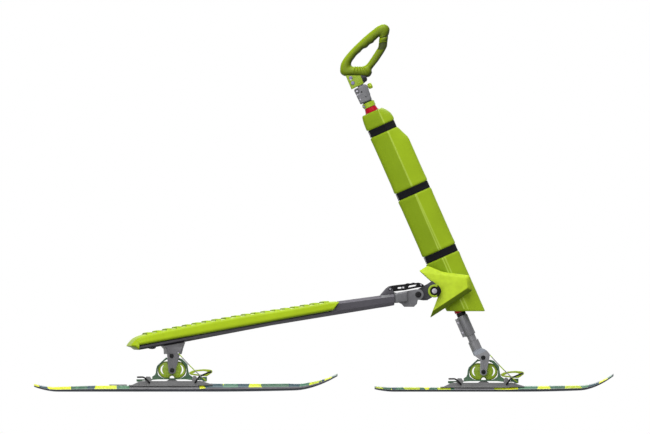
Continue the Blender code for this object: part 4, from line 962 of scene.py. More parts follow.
@dataclass
class Studio:
    """White surroundings, three soft lamps, a pale floor and the level side camera."""

    picture_width: float = 1.885
    aim: Vector = field(default_factory=lambda: Vector((0.0036, 0.0, 0.5066)))
    key: float = 80.0
    fill: float = 38.0
    back: float = 45.0
    sky: float = 0.35
    bounce: float = 0.3
    fade: tuple[float, float] = (1.1, 3.2)

    def build(self) -> None:
        """Make the world, the lamps, the floor and the camera."""
        self._world()
        self._lamp("key", (0.1, -1.6, 3.4), 2.4, self.key)
        self._lamp("fill", (-1.0, -3.2, 1.2), 2.4, self.fill)
        self._lamp("back", (0.4, 2.5, 2.6), 2.2, self.back)
        self._floor()
        self._camera()

    def _world(self) -> None:
        """Plain sky that the camera and reflections see as white."""
        world = bpy.data.worlds.new("studio_sky")
        bpy.context.scene.world = world
        world.use_nodes = True
        g = Graph(world.node_tree)
        path = g.add("LightPath")
        seen = g.math("MAXIMUM", path.outputs["Is Camera Ray"], path.outputs["Is Transmission Ray"])
        seen = g.math("MAXIMUM", seen, path.outputs["Is Glossy Ray"])
        level = g.spread(seen, 0.0, 1.0, self.sky, 1.0)
        sky = world.node_tree.nodes["Background"]
        sky.inputs["Color"].default_value = (1.0, 1.0, 1.0, 1.0)
        g.tree.links.new(level, sky.inputs["Strength"])

    def _lamp(self, name: str, place: tuple[float, float, float], size: float, power: float) -> None:
        """One square area lamp that looks at the middle of the trike."""
        lamp = bpy.data.lights.new(name, "AREA")
        lamp.size = size
        lamp.energy = power
        obj = bpy.data.objects.new(name, lamp)
        obj.location = place
        obj.rotation_euler = (Vector((0.0, 0.0, 0.45)) - Vector(place)).to_track_quat("-Z", "Y").to_euler()
        bpy.context.scene.collection.objects.link(obj)

    def _floor(self) -> None:
        """Wide pale floor just under the skis, that the camera sees fade to white with distance."""
        bm = bmesh.new()
        bmesh.ops.create_grid(bm, x_segments=4, y_segments=4, size=9.0)
        mesh = bpy.data.meshes.new("floor")
        bm.to_mesh(mesh)
        bm.free()
        material = bpy.data.materials.new("floor_paper")
        material.use_nodes = True
        shader = material.node_tree.nodes["Principled BSDF"]
        g = Graph(material.node_tree)
        path = g.add("LightPath")
        seen = g.math("MAXIMUM", path.outputs["Is Camera Ray"], path.outputs["Is Glossy Ray"])
        away = g.add("VectorMath", {"operation": "LENGTH"}, in0=g.add("TexCoord").outputs["Object"])
        far = g.spread(away.outputs["Value"], self.fade[0], self.fade[1], 0.0, 1.0)
        far = g.math("MULTIPLY", far, path.outputs["Is Camera Ray"])
        level = (self.bounce, self.bounce, self.bounce, 1.0)
        near = g.mix(seen, level, (0.86, 0.86, 0.87, 1.0))
        g.give(shader, Base_Color=g.mix(far, near, (0.0, 0.0, 0.0, 1.0)),
               Specular_IOR_Level=g.spread(far, 0.0, 1.0, 0.5, 0.0), Emission_Strength=far)
        shader.inputs["Emission Color"].default_value = (1.0, 1.0, 1.0, 1.0)
        shader.inputs["Roughness"].default_value = 0.9
        mesh.materials.append(material)
        obj = bpy.data.objects.new("floor", mesh)
        obj.location = (0.0, 0.0, -0.0005)
        bpy.context.scene.collection.objects.link(obj)

    def _camera(self) -> None:
        """Level camera from the rider's right, with parallel rays as in the photograph."""
        data = bpy.data.cameras.new("camera")
        data.type = "ORTHO"
        data.ortho_scale = self.picture_width
        camera = bpy.data.objects.new("camera", data)
        camera.location = self.aim + Vector((0.0, -12.0, 0.0))
        camera.rotation_euler = (math.pi / 2, 0.0, 0.0)
        bpy.context.scene.collection.objects.link(camera)
        bpy.context.scene.camera = camera


@dataclass
class Fastener:
    """Screw head with a hexagonal recess, turned on the axis from its seat outwards."""

    radius: float
    height: float
    socket: float = 0.45
    dome: float = 0.25

    def mesh(self, seat: Vector, out: Vector) -> bmesh.types.BMesh:
        """Head that stands on its seat.

        Args:
            seat: Centre of the face that the head sits on.
            out: Direction that the head stands up in.

        Returns:
            The head's mesh.
        """
        turn = out.to_track_quat("Z", "Y").to_matrix().to_4x4()
        matrix = Matrix.Translation(seat) @ turn
        r, h = self.radius, self.height
        edge = min(0.22 * r, 0.35 * h)
        profile = [(0.0, 0.0), (r - edge * 0.4, 0.0), (r, edge * 0.4), (r, h - edge)]
        for k in range(1, 5):
            a = math.pi / 2 * k / 4
            profile.append((r - edge + edge * math.cos(a), h - edge + edge * math.sin(a)))
        profile.append((self.socket * r * 1.22, h + self.dome * edge))
        bm = Shape.revolve(profile, matrix, 36)
        rim = [v for v in bm.verts if abs((matrix.inverted() @ v.co).z - h - self.dome * edge) < 1e-7]
        hexagon = []
        for k in range(36):
            a = math.tau * k / 36
            part = (a % (math.pi / 3)) - math.pi / 6
            reach = self.socket * r * math.cos(math.pi / 6) / math.cos(part)
            hexagon.append(Vector((reach * math.cos(a), reach * math.sin(a), 0.0)))
        rim.sort(key=lambda v: math.atan2((matrix.inverted() @ v.co).y, (matrix.inverted() @ v.co).x) % math.tau)
        last = rim
        for depth in (0.0, 0.55 * h):
            row = [bm.verts.new(matrix @ (p + Vector((0.0, 0.0, h + self.dome * edge - depth)))) for p in hexagon]
            for k in range(36):
                n = (k + 1) % 36
                bm.faces.new((last[k], last[n], row[n], row[k]))
            last = row
        bm.faces.new(last)
        return Shape.tidy(bm)


@dataclass
class PadCover:
    """Moulded foam cover of the column: eight facets a side, three strap channels, a low brim."""

    shop: Workshop
    straps: tuple[float, ...] = (80.5, 281.0, 480.5)
    strap_wide: float = 21.0
    buckle_seat: float = -32.6
    channel: float = 3.0
    swell: float = 0.9
    shoulder: float = 2.6
    base_level: float = 0.2332
    top: float = 548.2
    fronts: tuple[tuple[float, float], ...] = (
        (-200, 66.5), (440, 66.5), (479, 48.9), (503, 48.9), (512, 50), (524, 48.2), (532, 45),
        (539, 41), (545, 37.5), (548.2, 35))
    shrinks: tuple[tuple[float, float], ...] = (
        (-200, 0), (524, 0), (532, 0.6), (539, 1.8), (545, 3.2), (548.2, 6.0))

    def half(self, u: float) -> list[tuple[float, float, float]]:
        """Corners of half a section at height u: forward, beside and corner radius, in millimetres."""
        front = sum(Shape.between(self.fronts, u + d) for d in (-5, -2.5, 0, 2.5, 5)) / 5
        reach = (front - 20.5) / 46.0
        ridge = 1.2 + 4.0 * min(max((330 - u) / 400, 0.0), 1.0)
        return [(-35.7, 1.5, 0.5), (-35.7, 24, 3.0), (-30.5, 31, 4.0), (-7, 41.4, 9.0),
                (19 - ridge, 49.4, 2.0), (19 + ridge, 49.9, 2.0), (20.5 + 20.3 * reach, 38.6, 9.0),
                (20.5 + 39.5 * reach, 25.5, 7.0), (front, 17, 5.0)]

    def loop(self, u: float, shrink: float) -> list[Vector]:
        """Closed section at height u with rounded corners and slightly crowned facets."""
        half = self.half(u)
        corners = [(-34.9, 0.0, 0.3)] + half + [(f, -y, r) for f, y, r in reversed(half)]
        pts = [Vector((f, 0.0, y)) for f, y, _ in corners]
        out: list[Vector] = []
        count = len(pts)
        for k, p in enumerate(pts):
            before, after = pts[k - 1], pts[(k + 1) % count]
            reach = min(corners[k][2], 0.45 * (before - p).length, 0.45 * (after - p).length)
            out += Shape.corner(before, p, after, reach, 4)
            end = p + (after - p).normalized() * reach
            next_reach = min(corners[(k + 1) % count][2], 0.45 * (after - p).length,
                             0.45 * (pts[(k + 2) % count] - after).length)
            stop = after + (p - after).normalized() * next_reach
            side = stop - end
            outward = Vector((side.z, 0.0, -side.x)).normalized()
            if outward.dot((end + stop) / 2 - Vector((12.0, 0.0, 0.0))) < 0:
                outward = -outward
            for i in (1, 2, 3):
                t = i / 4
                crown = 0.012 * side.length * 4 * t * (1 - t)
                out.append(end + side * t + outward * crown)
        return Shape.inset(out, shrink)

    @staticmethod
    def pressed(p: Vector, share: float) -> Vector:
        """Point of a section drawn in at the flat back, where the straps are pulled tight."""
        return p + Vector((2.8 * share * min(max((-26.0 - p.x) / 8.0, 0.0), 1.0), 0.0, 0.0))

    def channel_depth(self, u: float) -> float:
        """How far the surface is drawn in at height u; negative where it swells beside a strap."""
        depth = 0.0
        for low in self.straps:
            start, stop = low - 0.8, low + self.strap_wide + 0.8
            inside = min(u - start, stop - u)
            t = min(max(inside / 1.6 + 0.5, 0.0), 1.0)
            depth += self.channel * t * t * (3 - 2 * t)
            away = max(start - u, u - stop, 0.0)
            if away > 0.0:
                depth -= self.swell * math.exp(-(away / 16.0) ** 2)
                depth += self.shoulder * (1 - math.sqrt(max(1 - max(1 - away / 7.0, 0.0) ** 2, 0.0)))
        return depth

    def build(self) -> None:
        """Loft the cover, then dress it with the straps."""
        matrix = column_matrix()
        foot = (self.base_level - AXIS_FOOT.z) / MM / math.cos(RAKE)
        heights = [foot, foot + 0.5, foot + 1.5, foot + 3.2]
        u = foot + 7.0
        while u < self.top - 12:
            close = min(abs(u - edge) for low in self.straps for edge in (low - 0.8, low + self.strap_wide + 0.8))
            heights.append(u)
            u += 0.5 if close < 1.6 else 1.0 if close < 8 else 3.0 if close < 24 else 7.0
        heights += [self.top - d for d in (10, 8, 6.2, 4.6, 3.2, 2.0, 1.0, 0.3, 0.0)]
        rows = []
        for q in heights:
            brim = max(3.2 - (q - foot), 0.0)
            shrink = Shape.between(self.shrinks, q) + self.channel_depth(q)
            shrink += 3.2 - math.sqrt(max(3.2 ** 2 - brim ** 2, 0.0))
            lean = max(1.0 - (q - foot) / (60.0 - foot), 0.0)
            row = []
            pull = min(max(self.channel_depth(q) / self.channel, 0.0), 1.0)
            for p in (self.pressed(p, pull) for p in self.loop(q, shrink)):
                level = q - p.x * math.tan(RAKE) * lean
                row.append(matrix @ Vector((p.x * MM, p.z * MM, level * MM)))
            rows.append(row)
        centre = Vector((10.0, 0.0, 0.0))
        for share, lift in ((0.8, 0.0), (0.77, 4.0)):
            row = []
            for p in self.loop(foot, 3.2):
                q = centre + (p - centre) * share
                level = foot + lift - q.x * math.tan(RAKE)
                row.append(matrix @ Vector((q.x * MM, q.z * MM, level * MM)))
            rows.insert(0, row)
        crown = []
        for p in self.loop(self.top, 6.0):
            q = p * 0.72
            crown.append(matrix @ Vector((q.x * MM, q.z * MM, self.top * MM)))
        rows.append(crown)
        bm = Shape.loft(rows)
        bm.faces.ensure_lookup_table()
        count = len(rows[0])
        # Faces of the ridge's rounded corners take the lighter finish, a painted highlight along the crease
        creases = {8 * corner + k for corner in (5, 6) for k in range(4)}
        creases |= {8 * (19 - corner) + k for corner in (5, 6) for k in range(4)}
        for face in bm.faces:
            row, k = divmod(face.index, count)
            if 6 <= row < len(rows) - 3 and k in creases:
                face.material_index = 1
        cover = self.shop.piece("column_pad_cover", bm, ("pad_foam_skin", "pad_crease_sheen"), "frame",
                                "pad_green", ["column_pad"], 32)
        for low, label in zip(self.straps, ("low", "middle", "top")):
            self._strap(low, label)

    def _strap(self, low: float, label: str) -> None:
        """Webbing band in its channel, with a slide buckle on the flat back.

        Args:
            low: Height of the lower edge, in millimetres.
            label: Which strap it is.
        """
        matrix = column_matrix()
        middle = low + self.strap_wide / 2
        base = self.loop(middle, 0.0)
        length = [0.0]
        for a, b in zip(base, base[1:] + base[:1]):
            length.append(length[-1] + (b - a).length)
        profile = [(2.9, 0.4), (2.9, 20.6), (1.3, 20.9), (0.75, 20.3), (0.65, 18.6), (0.9, 17.6),
                   (0.9, 3.4), (0.65, 2.4), (0.75, 0.7), (1.3, 0.1)]
        bm = bmesh.new()
        along = bm.verts.layers.float.new("along")
        across = bm.verts.layers.float.new("across")
        rings = []
        for shrink, rise in profile:
            ring = []
            for p, run in zip((self.pressed(p, 1.0) for p in Shape.inset(base, shrink)), length):
                vert = bm.verts.new(matrix @ Vector((p.x * MM, p.z * MM, (low + rise) * MM)))
                vert[along] = run * MM
                vert[across] = rise * MM
                ring.append(vert)
            rings.append(ring)
        count = len(base)
        for one, two in zip(rings, rings[1:] + rings[:1]):
            for k in range(count):
                n = (k + 1) % count
                bm.faces.new((one[k], one[n], two[n], two[k]))
        self.shop.piece(f"{label}_strap_webbing", Shape.tidy(bm), "strap_webbing", "frame",
                        "strap_black", [f"{label}_strap"], 40)
        frame_loop = Shape.rounded([(-14, -10.4), (14, -10.4), (14, 10.4), (-14, 10.4)], 2.5)
        holes = [Shape.rounded([(a, -8), (a + 8, -8), (a + 8, 8), (a, 8)], 1.2) for a in (-11, 3)]
        plate = matrix @ Matrix.Translation(Vector((self.buckle_seat, 0.0, middle)) * MM)
        plate = plate @ Matrix.Rotation(math.pi / 2, 4, "Z")
        bm = Shape.slab([frame_loop] + holes, 0.0, 1.8 * MM, 0.5 * MM, plate, 2, 0.0)
        self.shop.piece(f"{label}_strap_buckle", bm, "black_nylon", "frame", "strap_black")


@dataclass
class ColumnFittings:
    """Everything on the column but its pad: star covers, lean hub, tubes, bushings, head and clamp."""

    shop: Workshop
    star: tuple[tuple[float, float], ...] = (
        (-61.2, 71.4), (-27.5, -5), (-87.4, -66.0), (55.4, -43.4), (66.8, 0.8), (0.7, 40.5), (-32.6, 75.0))
    star_face: tuple[tuple[float, float], ...] = (
        (-54.5, 61.5), (-25.8, -5), (-73.5, -51.5), (47.9, -31.0), (55.0, -3.0), (0.0, 29.5), (-42.0, 55.0))
    cover_in: float = 50.3
    fork_band: tuple[float, float] = (-219.5, -205.0)

    def build(self) -> None:
        """Build every fitting."""
        for side in Side:
            self._star_cover(side)
            self._hub_end(side)
        self._tubes()
        self._head()
        self._pin()
        self._clamp_and_fork()

    def _star_cover(self, side: Side) -> None:
        """Star-shaped side cover with broad bevels and a softly rounded face."""
        outer = Shape.rounded(self.star, (3, 6, 4, 5, 5, 8, 2.5), 4)
        face = Shape.rounded(self.star_face, (2.5, 6, 3, 4, 4, 8, 4), 4)
        steps = [(0.0, self.cover_in), (0.0, 59.6), (0.02, 60.8), (0.07, 61.8), (0.5, 65.6),
                 (0.9, 69.0), (1.0, 69.7)]
        rows = []
        matrix = column_matrix()
        for share, level in steps:
            ring = [a.lerp(b, share) for a, b in zip(outer, face)]
            rows.append([matrix @ Vector((p.x, side.value * level * MM, p.z)) for p in ring])
        ring = Shape.inset(face, 0.6 * MM)
        rows.append([matrix @ Vector((p.x, side.value * 69.9 * MM, p.z)) for p in ring])
        shell = Shape.loft(rows, caps=False)
        shell.verts.ensure_lookup_table()
        for start, loop in ((0, outer), (len(shell.verts) - len(ring), ring)):
            flat = [Vector((p.x, p.z, 0.0)) for p in loop]
            for tri in tessellate_polygon([flat]):
                shell.faces.new([shell.verts[start + i] for i in tri])
        self.shop.piece(side.prefix + "star_shell", Shape.tidy(shell), "star_cover_plastic", "frame",
                        "star_green", [side.prefix + "star_cover"], 30)

    def _hub_end(self, side: Side) -> None:
        """Lime end ring of the lean hub, its forward part lowered and painted black as a shadow beside the bolt, with
        its dark washer, whose black also paints the shade inside the ring, and the bolt's head.
        """
        out = Vector((0.0, side.value, 0.0))
        seat = on_column(HUB_F, 0.0, 0.0) + out * 90.3 * MM
        turn = Shape.standing(seat, out)
        profile = [(4.9, 0.0), (18.6, 0.0), (19.0, 0.4), (19.0, 3.2), (18.7, 3.9), (18.1, 4.3),
                   (14.2, 4.3), (13.5, 4.1), (13.1, 3.6), (13.0, 1.4), (4.9, 1.4)]
        ring = Shape.turned(profile, turn, 72)
        # Forward of this the ring is lowered and painted black: a painted shadow beside the bolt's head
        painted_shadow_from, low_rim = 7.5 * MM, 1.6 * MM
        for vert in ring.verts:
            if vert.co.x - seat.x > painted_shadow_from and (vert.co - seat).dot(out) > low_rim:
                vert.co -= out * ((vert.co - seat).dot(out) - low_rim)
        for face in ring.faces:
            if face.calc_center_median().x - seat.x > painted_shadow_from:
                face.material_index = 1
        self.shop.piece(side.prefix + "hub_collar", ring, ("collar_lime", "dark_recess"), "frame", "ring_green",
                        [side.prefix + "hub_ring"])
        # Dark washer under the head; its black also paints the shade inside the ring
        washer = Shape.turned([(5.0, 1.42), (12.8, 1.42), (12.8, 1.65), (5.0, 1.65)], turn, 48)
        self.shop.piece(side.prefix + "hub_washer", washer, "dark_recess", "frame", "bolt_black")
        head = Fastener(7.7 * MM, 2.5 * MM, 0.42).mesh(seat + out * 1.72 * MM, out)
        shank = Shape.turned([(0.0, 0.0), (4.4, 0.0), (4.4, 88.0), (0.0, 88.0)],
                             Shape.standing(seat + out * 1.7 * MM, -out), 20)
        self.shop.piece(side.prefix + "hub_bolt_head", Shape.join(head, shank), "bright_steel", "frame",
                        "bolt_silver", ["hub_bolt"])

    def _turned(self, name: str, profile: Sequence[tuple[float, float]], finish: str, body: str,
                slot: str, replaces: Sequence[str] = (), count: int = 56) -> None:
        """Piece turned about the steering axis from radius and height pairs in millimetres."""
        bm = Shape.turned(profile, column_matrix(), count)
        self.shop.piece(name, bm, finish, body, slot, replaces)

    def _tubes(self) -> None:
        """Column, steerer and stem tubes, with the red bushings and the lime collar."""
        self._turned("column_outer_tube", [(12.4, -78), (15.0, -78), (15.5, -77.5), (15.5, 547.6),
                                           (15.1, 548), (12.4, 548)], "tube_alloy", "frame",
                     "tube_grey", ["column_tube"])
        self._turned("lower_bushing", [(12.2, -78.2), (12.2, -86.4), (15.2, -86.4), (16.0, -85.4),
                                       (16.0, -80.6), (17.0, -79.6), (17.0, -78.6), (16.6, -78.2)],
                     "red_bushing", "frame", "bushing_red")
        self._turned("upper_bushing", [(12.2, 548.4), (20.0, 548.4), (20.6, 549.2), (20.5, 550.2),
                                       (19.2, 551.0), (16.9, 562.2), (16.2, 563.9), (12.2, 563.9)],
                     "red_bushing", "frame", "bushing_red", ["top_bushing"])
        self._turned("steerer_inner_tube", [(9.2, -150), (11.6, -150), (12.0, -149.6), (12.0, 604.6),
                                            (11.7, 605), (9.2, 605)], "tube_alloy", "steerer",
                     "tube_grey", ["steerer_tube"])
        self._turned("lower_dust_seal", [(12.05, -87.0), (13.4, -87.0), (13.8, -88.0), (13.8, -96.2),
                                         (13.2, -97.4), (12.05, -97.4)], "black_nylon", "steerer",
                     "bolt_black")
        self._turned("steerer_stop_collar", [(12.2, 564.2), (18.0, 564.2), (18.5, 564.8), (18.5, 570.2),
                                             (18.1, 570.6), (18.1, 571.2), (18.5, 571.6), (18.5, 578.0),
                                             (17.8, 578.7), (12.2, 578.7)], "collar_lime", "steerer",
                     "ring_green", ["steerer_collar"])
        # Black ring in the gap between the collar and the head: painted shade in the gap
        self._turned("head_gap_seal", [(12.1, 578.9), (14.6, 578.9), (14.6, 580.8), (12.1, 580.8)],
                     "dark_recess", "steerer", "bolt_black")
        for side in Side:
            out = Vector((0.0, side.value, 0.0))
            lug = Shape.standing(on_column(-15.4 * MM, side.value * 8.0 * MM, 571.4 * MM), out)
            boss = Shape.turned([(0.0, 0.0), (4.9, 0.0), (4.9, 4.0), (4.5, 4.6), (0.0, 4.6)], lug, 28)
            self.shop.piece(side.prefix + "collar_lug", boss, "collar_lime", "steerer", "ring_green")
            seat = on_column(-15.4 * MM, side.value * 12.6 * MM, 571.4 * MM)
            screw = Fastener(3.3 * MM, 1.8 * MM, 0.4).mesh(seat, out)
            self.shop.piece(side.prefix + "collar_screw", screw, "violet_anodised", "steerer", "bolt_silver")
        self._turned("stem_inner_tube", [(7.0, 380), (8.7, 380), (9.0, 380.4), (9.0, 654.4), (8.7, 654.8),
                                         (7.0, 654.8)], "tube_alloy", "handle", "tube_grey", ["stem_tube"], 40)

    def _head(self) -> None:
        """Die-cast head with its side pockets, studs, bars, rivets and drillings, the pocket floors and drillings
        darker as painted shade.
        """
        outline = Shape.rounded([(-22.1, 581), (12.5, 581), (14.5, 584), (15.0, 596), (16.2, 597.5),
                                 (16.4, 608), (17.4, 612), (17.6, 627), (11, 631.2), (-20, 629),
                                 (-23.4, 626)], (2, 2, 2, 1, 1, 1, 2, 3, 3, 2, 2), 3)
        body = Shape.slab([outline], -18 * MM, 18 * MM, 3.4 * MM, column_matrix(), 4, 3.4 * MM)
        self.shop.piece("head_casting", body, "cast_alloy", "steerer", "cast_grey", ["clamp_head"])
        for side in Side:
            y, out = side.value * 18.0 * MM, Vector((0.0, side.value, 0.0))
            low, high = sorted((y - out.y * 0.6 * MM, y + out.y * 0.5 * MM))
            frame_loop = Shape.rounded([(-22.6, 612.6), (-8.2, 612.6), (-8.2, 628.8), (-21.8, 627.8)], 1.6)
            pocket = Shape.rounded([(-20.6, 614.6), (-10.2, 614.6), (-10.2, 626.8), (-20.0, 626.0)], 1.2)
            rim = Shape.slab([frame_loop, pocket], low, high, 0.35 * MM, column_matrix(), 2)
            self.shop.piece(side.prefix + "head_pocket_rim", rim, "cast_alloy", "steerer", "cast_grey")
            # Pocket floor in the darker yoke alloy: painted shade in the shallow pocket
            low, high = sorted((y - out.y * 0.2 * MM, y + out.y * 0.1 * MM))
            floor = Shape.slab([pocket], low, high, 0.05 * MM, column_matrix(), 1)
            self.shop.piece(side.prefix + "head_pocket_floor", floor, "yoke_alloy", "steerer", "cast_grey")
            bar = Shape.rounded([(-22.4, 608.8), (-9.8, 609.4), (-9.8, 611.6), (-22.2, 611.0)], 0.8)
            low, high = sorted((y - out.y * 0.3 * MM, y + out.y * 0.7 * MM))
            self.shop.piece(side.prefix + "head_bar", Shape.slab([bar], low, high, 0.3 * MM, column_matrix(), 2),
                            "bright_steel", "steerer", "bolt_silver")
            # The bores are shallow black discs: painted shade in the holes
            for label, f, u, radius, finish, tall in (
                    ("head_stud", -15.6, 620.6, 3.3, "bright_steel", 1.1),
                    ("head_rivet", -16.9, 594.1, 2.6, "bright_steel", 0.6),
                    ("head_upper_bore", -4.6, 613.3, 2.7, "dark_recess", 0.12),
                    ("head_small_bore", -9.4, 621.0, 2.0, "dark_recess", 0.12),
                    ("head_lower_bore", 1.3, 595.9, 2.0, "dark_recess", 0.12)):
                turn = Shape.standing(on_column(f * MM, y - out.y * 0.1 * MM, u * MM), out)
                profile = [(0.0, 0.0), (radius, 0.0), (radius, tall * 0.5), (radius * 0.82, tall), (0.0, tall * 1.1)]
                bm = Shape.turned(profile, turn, 24)
                self.shop.piece(side.prefix + label, bm, finish, "steerer", "cast_grey")

    def _pin(self) -> None:
        """Fluted knob of the height pin, with its steel pin."""
        place = on_column(0.0, 0.0, 619.9 * MM)
        turn = Matrix.Translation(place) @ Matrix.Rotation(-RAKE, 4, "Y") @ Matrix.Rotation(math.pi / 2, 4, "Y")
        profile = [(0.0, 31.5), (5.4, 31.5), (6.9, 31.0), (8.0, 29.8), (8.5, 28.2), (8.5, 22.6), (8.0, 21.0),
                   (6.9, 19.6), (6.6, 18.3), (0.0, 18.3)]
        bm = Shape.turned(profile, turn, 72)
        inverse = turn.inverted()
        for v in bm.verts:
            p = inverse @ v.co
            radius = math.hypot(p.x, p.y)
            if radius > 6.7 * MM:
                flute = 0.5 + 0.5 * math.cos(9 * math.atan2(p.y, p.x))
                scale = 1.0 - 0.09 * (1.0 - flute) ** 2
                v.co = turn @ Vector((p.x * scale, p.y * scale, p.z))
        self.shop.piece("height_knob", bm, "lever_lime_plastic", "height_pin", "lever_green", ["height_pin"], 50)
        bm = Shape.turned([(0.0, 18.2), (3.0, 18.2), (3.0, 10.6), (2.0, 9.6), (0.0, 9.6)], turn, 20)
        self.shop.piece("height_pin_shaft", bm, "bright_steel", "height_pin", "bolt_silver")

    def _clamp_and_fork(self) -> None:
        """Split clamp with its screws, and the front fork below it."""
        self.shop.piece("split_clamp", Shape.eased(["fork_clamp"], 0.9 * MM, 3), "clamp_alloy", "steerer",
                        "cast_grey", ["fork_clamp"])
        for label, f, u in (("upper", -18.2, -113.0), ("lower", -18.0, -144.0)):
            for side in Side:
                out = Vector((0.0, side.value, 0.0))
                seat = on_column(f * MM, side.value * 7.0 * MM, u * MM)
                screw = Fastener(3.5 * MM, 2.0 * MM, 0.42).mesh(seat, out)
                self.shop.piece(f"{side.prefix}clamp_{label}_screw", screw, "bright_steel", "steerer",
                                "bolt_silver")
        bm = Shape.eased(["front_fork"], 1.1 * MM, 3)
        matrix = column_matrix()
        axis = matrix.to_3x3() @ Vector((0.0, 0.0, 1.0))
        for level in self.fork_band:
            Shape.cut(bm, on_column(0.0, 0.0, level * MM), axis)
        for face in bm.faces:
            level = (matrix.inverted() @ face.calc_center_median()).z / MM
            face.material_index = 1 if self.fork_band[0] < level < self.fork_band[1] else 0
        self.shop.piece("front_clevis", bm, ("front_fork_alloy", "band_alloy"), "steerer", "cast_grey",
                        ["front_fork"], 32)
        self.shop.piece("yoke_cross_tube", Shape.eased(["yoke"], 0.7 * MM, 2), "yoke_alloy", "frame",
                        "yoke_dark", ["yoke"])


